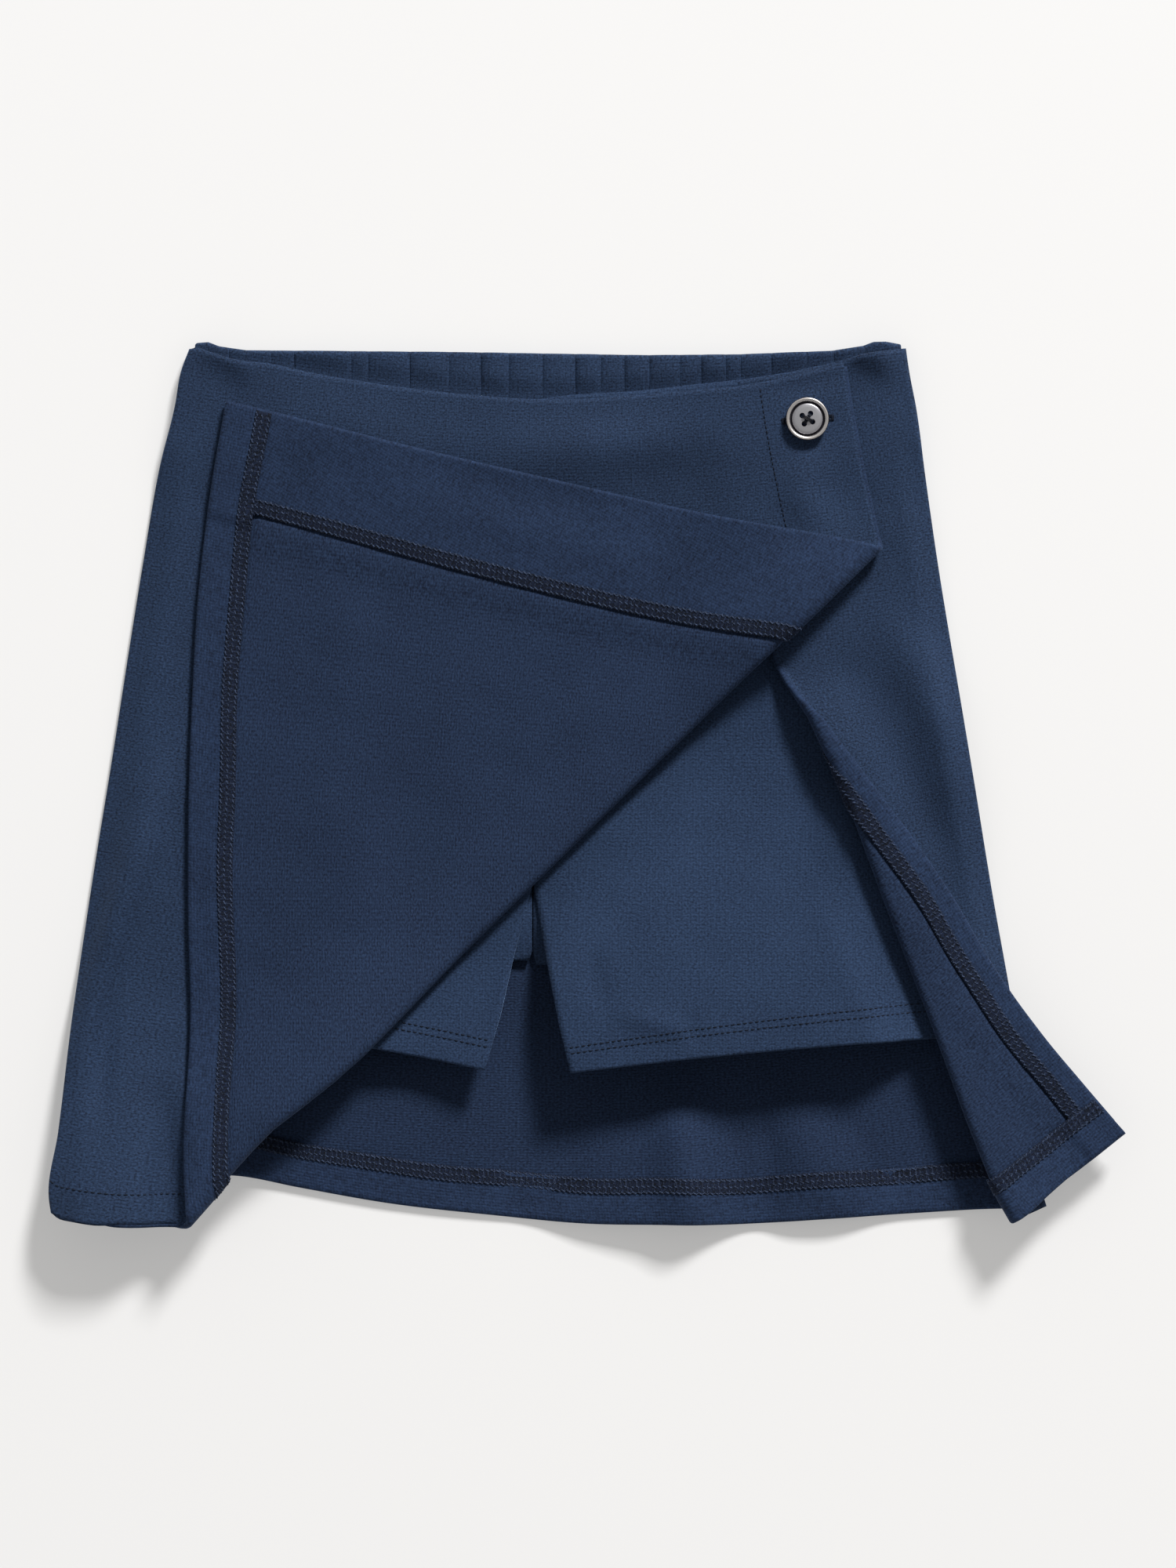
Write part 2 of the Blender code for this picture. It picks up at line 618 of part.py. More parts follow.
def main():
    clear_scene()
    skort = make_collection("skort")
    cutters = make_collection("cutters")
    skirt_cloth = make_material("navy double knit", SKIRT_FINISH)
    shorts_cloth = make_material("navy jersey", SHORTS_FINISH)
    metal = make_material("antique silver", BUTTON_FINISH)
    for piece in (*make_back(skort), *make_under(skort), *make_over(skort)):
        piece.data.materials.append(skirt_cloth)
    for piece in make_shorts(skort):
        piece.data.materials.append(shorts_cloth)
    make_button(skort, cutters).data.materials.append(metal)


main()
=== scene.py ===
# %% [markdown]
# # A child's wrap-front skort, laid flat on a pale table
#
# A skort is a skirt with shorts sewn inside. This one is cut from navy double knit: a back panel with an
# elastic waistband, a narrow under panel, and a full over panel that wraps across the front to a button.
# The over panel's lower corner is folded back and the under panel's free corner is flipped out, so the
# turned edges, their overlocked borders and the jersey shorts all show.
#
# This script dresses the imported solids: every piece of cloth is made again on its solid's form, with the
# thickness, folds and stitches of the real cloth.

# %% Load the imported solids
import math
from dataclasses import dataclass

import bmesh
import bpy
import numpy as np
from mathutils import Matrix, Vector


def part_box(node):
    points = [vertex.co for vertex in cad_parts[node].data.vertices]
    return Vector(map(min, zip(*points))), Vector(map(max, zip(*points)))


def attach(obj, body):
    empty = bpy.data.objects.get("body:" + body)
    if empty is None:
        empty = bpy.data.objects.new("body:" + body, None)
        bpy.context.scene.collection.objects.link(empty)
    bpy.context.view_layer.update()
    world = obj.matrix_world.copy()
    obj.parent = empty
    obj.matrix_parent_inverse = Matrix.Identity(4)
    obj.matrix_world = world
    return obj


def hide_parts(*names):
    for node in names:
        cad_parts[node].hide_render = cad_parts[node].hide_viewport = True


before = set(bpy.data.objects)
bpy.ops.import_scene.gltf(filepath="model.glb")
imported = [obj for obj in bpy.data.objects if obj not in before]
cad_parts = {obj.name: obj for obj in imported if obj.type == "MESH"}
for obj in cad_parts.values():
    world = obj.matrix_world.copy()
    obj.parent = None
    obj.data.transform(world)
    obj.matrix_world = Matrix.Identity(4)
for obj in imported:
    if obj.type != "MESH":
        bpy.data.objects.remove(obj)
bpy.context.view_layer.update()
MM = 0.001

# %% [markdown]
# ## The flat pattern
#
# A garment maker draws each panel flat, as four edges. The tables below hold those edges in millimetres,
# read off the photograph, and are the ones that the solids were made from. A panel could be drawn as a mesh
# by hand, but a smooth line through each table and a Coons patch between four such lines give every point of
# a curved four-sided panel from its outline alone.

# %% Outline tables, as (x, y) in millimetres
LEFT_SIDE = (
    (-151.6, 165.6), (-154.5, 158.0), (-157.1, 143.9), (-163.1, 119.9), (-169.4, 83.9), (-175.2, 47.9),
    (-180.8, 11.9), (-188.6, -36.2), (-195.5, -84.2), (-200.9, -132.2), (-204.2, -157.5), (-203.4, -162.6),
)
RIGHT_SIDE = (
    (122.3, 166.2), (123.5, 157.9), (126.2, 143.9), (129.5, 119.9), (134.7, 83.9), (140.6, 47.9),
    (146.4, 11.9), (154.4, -36.2), (162.3, -84.2), (169.2, -132.2), (173.9, -162.2),
)
BACK_WAIST = (
    (-151.6, 165.6), (-148.6, 168.5), (-144.5, 168.8), (-140.3, 167.2), (-130.0, 165.7), (-98.0, 165.4),
    (-50.0, 165.0), (-14.0, 164.4), (22.0, 163.8), (58.0, 164.1), (94.0, 165.5), (106.0, 167.4),
    (110.0, 168.9), (114.6, 169.0), (120.0, 168.0), (122.3, 166.2),
)
BACK_HEM = (
    (-203.4, -162.6), (-190.0, -156.0), (-170.0, -151.0), (-150.0, -149.4), (-134.0, -149.8),
    (-110.0, -154.4), (-74.0, -160.7), (-38.0, -164.8), (-2.0, -168.0), (34.0, -168.3), (58.0, -168.4),
    (94.0, -166.2), (130.0, -164.0), (154.0, -162.6), (173.9, -162.2),
)
OVER_WAIST = (
    (-151.6, 165.6), (-148.5, 166.3), (-143.8, 164.7), (-135.6, 162.0), (-120.8, 160.3), (-102.8, 156.4),
    (-83.7, 153.2), (-56.3, 149.6), (-32.3, 147.4), (-8.3, 146.5), (15.8, 148.0), (39.8, 149.9),
    (61.4, 152.0), (79.4, 155.6), (99.2, 160.7),
)
OVER_FREE_EDGE = (
    (99.2, 160.7), (101.3, 146.9), (105.8, 122.9), (113.3, 88.4), (124.2, 23.0), (135.2, -31.4),
    (146.6, -85.7), (158.9, -139.8), (163.6, -161.0),
)
OVER_HEM = (
    (-203.4, -162.6), (-200.6, -165.0), (-194.3, -166.4), (-182.3, -168.0), (-149.3, -168.8), (-127.0, -170.2),
    (-91.0, -170.0), (-73.0, -169.8), (-37.0, -171.4), (-1.1, -172.2), (53.0, -171.6), (89.0, -170.2),
    (125.1, -166.7), (163.6, -161.0),
)
UNDER_WAIST = ((56.5, 153.6), (79.4, 157.4), (94.1, 160.7), (106.0, 163.6), (122.3, 166.2))
UNDER_FREE_EDGE = (
    (56.5, 153.6), (62.0, 112.0), (66.5, 78.0), (71.4, 47.0), (76.0, 22.0), (80.2, -5.0), (84.2, -40.0),
    (88.0, -64.0), (93.6, -88.0), (97.0, -106.0), (99.4, -126.0), (100.8, -150.0), (102.0, -175.4),
)
UNDER_HEM = (
    (102.0, -175.4), (121.9, -173.1), (140.3, -170.4), (152.4, -168.9), (163.0, -166.0), (173.9, -162.2),
)
print("points in the back's four edges:", *map(len, (BACK_WAIST, BACK_HEM, LEFT_SIDE, RIGHT_SIDE)))

# %% Lines and patches
LINE_POINTS = 801


def ease(u):
    """A smooth step: 0 below 0, 1 above 1."""
    u = np.clip(u, 0.0, 1.0)
    return u * u * (3.0 - 2.0 * u)


def read(spots, knots, rows):
    """Rows that are known at knots along a line, read at other spots along it."""
    return np.stack([np.interp(spots, knots, column) for column in rows.T], -1)


class Edge:
    """A smooth line through a table of (x, y), read by the share of its length."""

    def __init__(self, rows):
        points = np.array(rows, float)
        steps = np.hypot(*np.diff(points, axis=0).T)
        self.length = steps.sum()
        knots = np.concatenate([[0.0], np.cumsum(steps)]) / self.length
        slopes = np.gradient(points, knots, axis=0)
        self.share = np.linspace(0.0, 1.0, LINE_POINTS)
        i = np.clip(np.searchsorted(knots, self.share, side="right") - 1, 0, len(knots) - 2)
        span = (knots[i + 1] - knots[i])[:, None]
        v = (self.share - knots[i])[:, None] / span
        ends = (2 * v**3 - 3 * v**2 + 1) * points[i] + (3 * v**2 - 2 * v**3) * points[i + 1]
        bends = (v**3 - 2 * v**2 + v) * slopes[i] + (v**3 - v**2) * slopes[i + 1]
        self.xy = ends + bends * span

    def at(self, share):
        return read(share, self.share, self.xy)

    def x_at(self, y):
        """x where a line that runs down the garment crosses a height."""
        return np.interp(-y, -self.xy[:, 1], self.xy[:, 0])


def patch(top, bottom, left, right):
    """A function that gives the pattern's points at fractions across and down inside four edges."""

    def place(across, down):
        a, d = np.asarray(across, float)[:, None], np.asarray(down, float)[:, None]
        ends = (1 - d) * top.at(across) + d * bottom.at(across)
        sides = (1 - a) * left.at(down) + a * right.at(down)
        upper = (1 - a) * left.at(0.0) + a * right.at(0.0)
        lower = (1 - a) * left.at(1.0) + a * right.at(1.0)
        return ends + sides - (1 - d) * upper - d * lower

    return place


LEFT_EDGE, RIGHT_EDGE, OVER_EDGE, UNDER_EDGE, BACK_HEM_EDGE, OVER_HEM_EDGE, UNDER_HEM_EDGE = map(
    Edge, (LEFT_SIDE, RIGHT_SIDE, OVER_FREE_EDGE, UNDER_FREE_EDGE, BACK_HEM, OVER_HEM, UNDER_HEM)
)
back_pattern = patch(Edge(BACK_WAIST), BACK_HEM_EDGE, LEFT_EDGE, RIGHT_EDGE)
over_pattern = patch(Edge(OVER_WAIST), OVER_HEM_EDGE, LEFT_EDGE, OVER_EDGE)
under_pattern = patch(Edge(UNDER_WAIST), UNDER_HEM_EDGE, UNDER_EDGE, RIGHT_EDGE)
print("side seams in mm:", round(LEFT_EDGE.length), round(RIGHT_EDGE.length))

# %% [markdown]
# ## How the layers lie
#
# Laid flat, the garment is a stack: the back panel, the shorts, the under panel, the over panel, and on top
# of it the corner that is folded back. A cloth simulation could stack them, but it would move the outline off
# the photograph's. Here each layer gets a height that is a smooth function of where it lies, so that it steps
# up gently where something lies under it. These are the heights of the solids.

# %% Heights of the middle of each layer, in millimetres
BACK_HEIGHT, ON_BACK_HEIGHT, CASING_HEIGHT = 0.6, 2.1, 2.5
SHORTS_FRONT_HEIGHT, FRONT_HEIGHT, SIDE_SEAM_HEIGHT = 3.5, 5.2, 2.2
UNDER_PANEL_STEP, BAND_STEP, WAIST_STEP, WAIST_SIDE_STEP = 1.8, 1.5, 1.4, 3.7
OVER_FACING_WIDTH, OVER_FACING_BOW, UNDER_FACING_WIDTH, HEM_WIDTH = 39.5, 3.5, 12.5, 17.5
SIDE_ROUND, BAND_SLOPE, EDGE_SLOPE, EDGE_MARGIN = 12.0, 26.0, 36.0, 4.0
CASING_FOOT, WAIST_SLOPE = 133.0, 30.0

# Where the hem stands off the table: (name, centre x, run left, run right, top y, reach down, height).
FLUTES = (
    ("left corner", -190.0, 95.0, 78.0, -66.0, 100.0, 15.0),
    ("back middle", 30.0, 60.0, 42.0, -112.0, 56.0, 6.5),
    ("back right", 84.0, 26.0, 40.0, -118.0, 50.0, 2.5),
    ("right corner", 178.0, 42.0, 60.0, -112.0, 55.0, 3.0),
)


def flute_lift(x, y):
    """How far the whole stack stands off the table."""
    total = np.zeros_like(x)
    for _, centre, run_left, run_right, top, reach, height in FLUTES:
        run = np.where(x < centre, run_left, run_right)
        total += height * ease(1.0 - np.abs(x - centre) / run) * ease((top - y) / reach)
    return total


def waist_rise(y):
    return ease((y - CASING_FOOT + WAIST_SLOPE) / WAIST_SLOPE)


def side_drop(height, distance, y):
    """A front panel rounds down to its side seam."""
    edge = SIDE_SEAM_HEIGHT + WAIST_SIDE_STEP * waist_rise(y)
    return edge + (height - edge) * ease(distance / SIDE_ROUND)


def under_band(x, y):
    return ease((UNDER_EDGE.x_at(y) + UNDER_FACING_WIDTH + BAND_SLOPE - x) / BAND_SLOPE)


def under_level(x, y):
    return FRONT_HEIGHT + BAND_STEP * under_band(x, y) + WAIST_STEP * waist_rise(y) + flute_lift(x, y)


def under_height(x, y):
    lift = flute_lift(x, y)
    return side_drop(under_level(x, y) - lift, RIGHT_EDGE.x_at(y) - x, y) + lift


def over_height(x, y):
    on_under = ease((x - UNDER_EDGE.x_at(y) + EDGE_MARGIN + EDGE_SLOPE) / EDGE_SLOPE)
    on_facing = ease((x - OVER_EDGE.x_at(y) + OVER_FACING_WIDTH + BAND_SLOPE) / BAND_SLOPE)
    level = FRONT_HEIGHT + on_under * (UNDER_PANEL_STEP + BAND_STEP * under_band(x, y))
    level += BAND_STEP * on_facing + WAIST_STEP * waist_rise(y)
    return side_drop(level, x - LEFT_EDGE.x_at(y), y) + flute_lift(x, y)


def level_lay(height):
    """A piece that lies level on the stack and lifts with it."""

    def lay(flat, offset):
        x, y = flat.T
        return np.column_stack([flat, height(x, y) + flute_lift(x, y) + offset])

    return lay


print("lift at the left corner in mm:", flute_lift(*np.array([[-200.0], [-160.0]])).round(1).tolist())

# %% [markdown]
# ## Folding a panel
#
# A folded corner is the flat pattern rolled over a straight line: up to the line it lies as it is, past it it
# goes round a roll of a few millimetres, and then it lies back, wrong side up. It could be a second piece laid
# on top, but working from the one pattern keeps the cloth's true lengths, so nothing stretches or parts.

# %% The roll and the two folds
ROLL_RADIUS, FOLDED_GAP, SETTLE_LENGTH = 2.4, 2.0, 30.0
CORNER_CURL, CORNER_CURL_LENGTH = 3.0, 45.0


class Fold:
    """A sheet that is rolled over a straight line and lies back on itself."""

    def __init__(self, start, end, side, rest_height, lying_height, curl=0.0):
        start, end = np.array(start), np.array(end)
        self.along = (end - start) / np.linalg.norm(end - start)
        self.start, self.curl = start, curl
        self.normal = side * np.array([-self.along[1], self.along[0]])
        self.rest_height, self.lying_height = rest_height, lying_height

    def past(self, flat):
        return (flat - self.start) @ self.normal

    def lay(self, flat, offset):
        """Where flat points lie, at an offset from the sheet's middle towards its right side."""
        past = self.past(flat)
        foot = flat - np.maximum(past, 0.0)[:, None] * self.normal
        angle = np.clip(past / ROLL_RADIUS, 0.0, math.pi)
        radius = ROLL_RADIUS - offset
        back = np.maximum(past - math.pi * ROLL_RADIUS, 0.0)
        place = foot + (radius * np.sin(angle) - back)[:, None] * self.normal
        rest = self.rest_height(*foot.T)
        rolled = rest + ROLL_RADIUS - radius * np.cos(angle)
        blend = ease(back / EDGE_SLOPE)
        below = (1 - blend) * rest + blend * self.lying_height(*place.T)
        rise = FOLDED_GAP + (2 * ROLL_RADIUS - FOLDED_GAP) * (1 - ease(back / SETTLE_LENGTH))
        lain = below + rise - offset + self.curl * ease(back / CORNER_CURL_LENGTH)
        return np.column_stack([place, np.where(back > 0.0, lain, rolled)])


over_fold = Fold((109.5, 92.2), (-153.0, -164.9), 1.0, over_height, over_height)
under_fold = Fold((74.0, 48.4), (160.4, -161.3), -1.0, under_height, under_level, CORNER_CURL)
print("over fold runs along:", over_fold.along.round(3).tolist())

# %% [markdown]
# ## Folds that stand off
#
# Knit is springy. A fold in it isn't pressed flat but stands a few millimetres off what lies under it, and it
# wanders from its straight line. The photograph shows that in the shadows beside the folds: where one is wide
# and soft the fold is high. A simulation would lift the folds by itself, but not where the photograph has
# them, so short tables say how far each one rises and is pushed aside along its length.

# %% Rises beside the folds
RISE_REACH, FOLD_LENGTH, PUSH_REACH = 50.0, 367.0, 45.0
UNDER_RISE, UNDER_RISE_TOP, UNDER_RISE_REACH = 7.0, 46.0, 36.0
# Steps in the over fold's height: (mm, where it begins, its run), in shares of the fold from the waist.
OVER_STEPS = ((3.0, -0.02, 0.07), (1.5, 0.0, 0.1), (-1.5, 0.13, 0.14), (9.5, 0.58, 0.22), (-6.5, 0.84, 0.16))
# How far the over fold lies outside its straight line: (share of its length from the waist, mm).
OVER_PUSH = np.array((
    (0.6, 0.0), (0.65, 0.4), (0.7, 1.0), (0.75, 1.3), (0.79, 0.6), (0.83, -0.9), (0.87, -2.7), (0.9, -2.5),
    (0.94, -1.6), (1.0, 0.0),
))
# How far the under panel's flipped corner is pushed aside: (y, mm).
UNDER_PUSH = np.array((
    (-172.0, 4.2), (-150.0, 0.6), (-128.0, 0.9), (-91.0, 2.7), (-67.0, 3.3), (-43.0, 4.1), (-18.0, 5.4),
    (6.0, 6.2), (25.0, 5.6), (48.0, 0.0),
))


def beside_fold(fold, flat):
    """1 on the fold of a sheet, easing to 0 away from it on both sides."""
    return ease(1.0 - np.abs(fold.past(flat) - math.pi * ROLL_RADIUS / 2) / RISE_REACH)


def fold_share(flat):
    return (flat - over_fold.start) @ over_fold.along / FOLD_LENGTH


def over_rise(flat):
    share = fold_share(flat)
    rise = sum(height * ease((share - start) / run) for height, start, run in OVER_STEPS)
    return rise * beside_fold(over_fold, flat)


def over_lay(flat, offset):
    """The over panel, with its fold standing off the shorts and a little bent along its length."""
    points = over_fold.lay(flat, offset)
    points[:, 2] += over_rise(flat)
    push = np.interp(fold_share(flat), *OVER_PUSH.T) * beside_fold(over_fold, flat)
    points[:, :2] += push[:, None] * over_fold.normal
    return points


def under_rise(y):
    return UNDER_RISE * ease((UNDER_RISE_TOP - y) / UNDER_RISE_REACH)


def under_lay(flat, offset):
    """The under panel, with its flipped corner pushed aside and its fold standing off the shorts."""
    points = under_fold.lay(flat, offset)
    points[:, 2] += under_rise(points[:, 1]) * beside_fold(under_fold, flat)
    near = ease(1.0 + under_fold.past(flat) / PUSH_REACH)
    points[:, 0] += near * np.interp(points[:, 1], *UNDER_PUSH.T)
    return points


print("highest rise of the over fold in mm:", max(np.cumsum([height for height, _, _ in OVER_STEPS])))

# %% [markdown]
# ## Creases and small waves
#
# Cloth that has been folded and smoothed by hand keeps soft troughs and ridges. They could be sculpted, but a
# row in a table is easier to move: each is a soft bump along a line, fading at its ends. Those of the whole
# stack lift or sink every layer together, so that no layer cuts through the next, and the others belong to one
# layer. A last, very low ripple with no direction of its own keeps the light from lying on the cloth like
# paint.

# %% Troughs and ridges: (x1, y1, x2, y2, half width, height), in millimetres
STACK_CREASES = (
    (-162, 14, -199, -134, 7, 6.5), (-163, -112, -160, -190, 7, -6.0), (-178, -54, -190, -140, 5, -2.4),
    (42, -110, 34, -182, 11, 6.5), (62, -114, 66, -172, 9, -1.6), (86, -112, 92, -178, 15, 3.4),
    (112, -118, 118, -160, 12, -2.5), (-20, -118, -26, -170, 16, -2.0),
)
OVER_CREASES = (
    (-40, 133, 62, 128, 11, 3.0), (84, 130, 86, 96, 8, 3.0), (66, 151, 100, 155, 5, -1.2),
    (-150, 168, -122, 160, 7, 3.0), (-160, 30, -172, -60, 9, 1.5), (-120, 140, -60, 120, 12, 1.0),
)
FLAP_CREASES = (
    (-132, 120, 60, 72, 9, 0.9), (-118, 20, -70, -60, 15, 1.2), (-40, 60, -60, -30, 13, 1.2),
    (20, 50, -20, 0, 12, 1.2), (-138, 60, -144, -120, 6, 0.9), (-100, 80, -90, 10, 11, 0.9),
)
UNDER_CREASES = (
    (113, 72, 159, -50, 12, 7.0), (92, 64, 140, -44, 9, -1.2), (96, 166, 121, 168, 8, 4.5),
    (128, 120, 134, 60, 9, 1.5),
)
LEG_CREASES = (
    (40, -20, 30, -76, 12, 1.2), (70, 20, 84, -70, 14, -0.8), (3, -58, 8, -94, 4, -1.2),
    (8, -87, 42, -93, 4, 1.1), (41, -86, 42, -102, 3, -0.9), (-18, -60, -30, -100, 6, 1.2),
    (96, 10, 104, -60, 9, 1.0),
)
# (wavelength in mm, direction in degrees, height in mm)
RIPPLES = (
    (31.0, 20.0, 0.07), (23.0, 75.0, 0.06), (41.0, 130.0, 0.09), (17.0, 160.0, 0.035), (13.0, 48.0, 0.025),
)

# %% Adding them to a piece
CREASE_BEND, FREE_HEIGHT = 0.35, 4.0


def crease_height(table, x, y):
    """The sum of a table's bumps: round across, a little bent, and fading towards both ends."""
    total = np.zeros_like(x)
    for x1, y1, x2, y2, width, height in table:
        run_x, run_y = x2 - x1, y2 - y1
        dx, dy = x - x1, y - y1
        share = (dx * run_x + dy * run_y) / (run_x**2 + run_y**2)
        across = (dy * run_x - dx * run_y) / math.hypot(run_x, run_y)
        bend = CREASE_BEND * width * np.sin(4.0 * share + x1)
        fade = ease(1.15 - np.abs(2.0 * share - 1.0))
        total += height * fade * np.exp(-(((across - bend) / width) ** 2))
    return total


def ripple(x, y):
    total = np.zeros_like(x)
    for wavelength, turn, height in RIPPLES:
        way = x * math.cos(math.radians(turn)) + y * math.sin(math.radians(turn))
        slow = 1.5 * np.sin(way / wavelength + (x - y) / 57.0)
        total += height * np.sin(math.tau * way / wavelength + slow)
    return total


def with_creases(lay, table, fold=None, folded=()):
    """Lay a piece, then add the stack's creases, its own, and those of the part that is folded over."""

    def creased(flat, offset):
        points = lay(flat, offset)
        x, y, z = points.T
        lift = np.maximum(crease_height(STACK_CREASES, x, y), 0.5 * (BACK_HEIGHT - z))
        lift += ease((z - BACK_HEIGHT) / FREE_HEIGHT) * ripple(x, y)
        lift += crease_height(table, x, y)
        if fold is not None:
            lying = ease((fold.past(flat) - math.pi * ROLL_RADIUS) / EDGE_SLOPE)
            lift += lying * crease_height(folded, x, y)
        return np.column_stack([x, y, z + lift])

    return creased


back_lay = with_creases(level_lay(lambda x, y: BACK_HEIGHT + 0.0 * x), ())
under_lie = with_creases(under_lay, UNDER_CREASES)
over_lie = with_creases(over_lay, OVER_CREASES, over_fold, FLAP_CREASES)
print("creases:", sum(map(len, (STACK_CREASES, OVER_CREASES, FLAP_CREASES, UNDER_CREASES, LEG_CREASES))))

# %% [markdown]
# ## The knit
#
# Double knit is made of two interlocked faces of stitches. Rows of loops, the courses, run across the cloth
# and give it fine cross ribs, and columns of loops, the wales, run down it. Both are thread-sized: here a
# course is 0.87 mm and a wale 0.65 mm. In a preview 768 pixels wide a pixel is 0.59 mm, so both are drawn
# about half as coarse again, or they would shimmer. Real loops would be millions of faces. Drawing them in
# the shader on the cloth's own pattern, rather than in space, makes them turn with a fold.

# %% Helpers for materials


def linear(hex_code):
    """An sRGB hex colour as the linear colour that a shader takes."""
    s = np.array([int(hex_code[k : k + 2], 16) for k in (1, 3, 5)]) / 255
    return (*np.where(s <= 0.04045, s / 12.92, ((s + 0.055) / 1.055) ** 2.4).tolist(), 1.0)


def node(owner, kind, inputs=(), out=0, **settings):
    """Add a shader node and give one of its outputs. An input takes a value, or another node's output."""
    tree = owner.node_tree
    made = tree.nodes.new("ShaderNode" + kind)
    for name, value in settings.items():
        setattr(made, name, value)
    for name, value in dict(inputs).items():
        if isinstance(value, bpy.types.NodeSocket):
            tree.links.new(value, made.inputs[name])
        else:
            made.inputs[name].default_value = value
    return made.outputs[out]


def noise(owner, place, scale, detail, roughness):
    inputs = {"Vector": place, "Scale": scale, "Detail": detail, "Roughness": roughness}
    return node(owner, "TexNoise", inputs, "Fac")


def mixed(owner, share, dark, light, **settings):
    """A colour between two: inputs 6 and 7 of a colour Mix, whose output 2 is the mixed one."""
    return node(owner, "Mix", {0: share, 6: linear(dark), 7: linear(light)}, 2, data_type="RGBA", **settings)


def relief(owner, height, strength, distance):
    return node(owner, "Bump", {"Height": height, "Strength": strength, "Distance": distance})


def colour_ramp(owner, value, stops):
    """A ramp through (position, linear colour) stops."""
    ramp = node(owner, "ValToRGB", {"Fac": value})
    elements = ramp.node.color_ramp.elements
    for position, _ in stops[1:-1]:
        elements.new(position)
    for element, (position, colour) in zip(elements, stops):
        element.position, element.color = position, colour
    return ramp


def new_material(name, preview):
    """A material with only its output, and the colour that a plain viewport shows."""
    material = bpy.data.materials.new(name)
    material.use_nodes = True
    material.diffuse_color = linear(preview)
    material.node_tree.nodes.remove(material.node_tree.nodes["Principled BSDF"])
    return material


def finish_with(material, inputs):
    """Give a material its surface, and say so."""
    nodes, links = material.node_tree.nodes, material.node_tree.links
    links.new(node(material, "BsdfPrincipled", inputs), nodes["Material Output"].inputs["Surface"])
    print("finish:", material.name)


# %% A knitted cloth
# A Wave node's bands repeat every 2 pi / 20 of its scaled input.
WAVE_PITCH = math.tau / 20.0


def knit(name, dark, light, course, wale, parts, bump, sheen, lean=0.0):
    """A knitted cloth: courses and wales at their pitches in millimetres, and flecks of lighter fibre.

    parts are the shares of courses, wales and flecks in its colour. lean turns its flecks, in degrees.
    """
    material = new_material(name, light)
    pattern = node(material, "Attribute", out="Vector", attribute_name="pattern")
    bands = {"Vector": pattern, "Distortion": 1.6, "Detail": 2.0, "Detail Scale": 2.4}
    courses, wales = (
        node(material, "TexWave", {**bands, "Scale": WAVE_PITCH / pitch}, "Fac", bands_direction=way)
        for pitch, way in ((course, "Y"), (wale, "X"))
    )
    leaning = {"Vector": pattern, "Rotation": (0.0, 0.0, math.radians(lean)), "Scale": (1.0, 1.5, 1.0)}
    flecks = noise(material, node(material, "Mapping", leaning), 1.0, 4.0, 0.68)
    tone = noise(material, pattern, 0.035, 3.0, 0.6)
    shares = (*zip((courses, wales, flecks), parts), (tone, 0.3))
    shade = 0.5 - sum(share for _, share in shares) / 2
    for value, share in shares:
        shade = node(material, "Math", {0: value, 1: share, 2: shade}, operation="MULTIPLY_ADD")
    loops = node(material, "Math", {0: wales, 1: 0.6, 2: courses}, operation="MULTIPLY_ADD")
    finish_with(material, {
        "Base Color": mixed(material, shade, dark, light, clamp_factor=True),
        "Normal": relief(material, loops, bump, 0.00025), "Roughness": 0.88, "Specular IOR Level": 0.2,
        "Sheen Weight": sheen, "Sheen Roughness": 0.35, "Sheen Tint": linear("#8fb0e0"),
    })
    return material


# %% Double knit, its right side and its wrong side, and the jersey of the shorts
# Cotton and polyester double knit, piece-dyed navy. The right side shows cross ribs: courses, then wales.
knit_right = knit("double_knit_right_side", "#0f1829", "#314564", 1.32, 1.05, (0.05, 0.08, 3.0), 0.14, 0.3)
# The wrong side is smoother and a little duller, and its wales show more than its courses.
knit_wrong = knit("double_knit_wrong_side", "#0d1629", "#2a3c5a", 1.05, 1.25, (0.06, 0.12, 3.0), 0.25, 0.25)
# A turned edge is pressed harder than the panel, which lays its fibres flat and makes it a shade darker.
knit_pressed = knit("double_knit_pressed_edge", "#0e1729", "#2c3f5f", 1.2, 1.1, (0.1, 0.1, 2.3), 0.25, 0.2)
# Single jersey of a melange yarn: nearly smooth, with faint slubs that lean across it.
jersey = knit("melange_jersey", "#121e32", "#314564", 1.5, 1.1, (0.05, 0.12, 3.0), 0.22, 0.3, lean=24.0)

# %% [markdown]
# ## Thread
#
# The seams are sewn and overlocked with spun polyester thread. It's darker than the cloth. Two plies twisted
# together show as a fine change of tone along the thread, and each turn of it catches a small light: a small
# noise in the object's own space paints both into the thread's colour, the tone and those glints as painted
# highlights, without modelling the twist.

# %% Thread finishes


def thread_finish(name, dark, light, roughness):
    material = new_material(name, light)
    # This noise is the plies' tone, and its lighter flecks are painted glints where the thread's turns catch
    # the light.
    ply_tone_and_glints = noise(material, node(material, "TexCoord", out="Object"), 1400.0, 2.0, 0.6)
    lit = node(material, "MapRange", {"Value": ply_tone_and_glints, "From Min": 0.36, "From Max": 0.66})
    finish_with(material, {
        "Base Color": mixed(material, lit, dark, light), "Normal": relief(material, ply_tone_and_glints, 0.5, 0.0001),
        "Roughness": roughness, "Specular IOR Level": 0.25,
        "Sheen Weight": 0.15, "Sheen Roughness": 0.4, "Sheen Tint": linear("#7f9fd8"),
    })
    return material


# The ribbon under the loops stands for the thread's speckled mat; its near black is painted shade between
# loops.
overlock_shade_mat = thread_finish("overlock_painted_shade_ribbon", "#060a13", "#17223a", 0.95)
overlock_thread = thread_finish("overlock_thread", "#0c1423", "#3f4d68", 0.75)
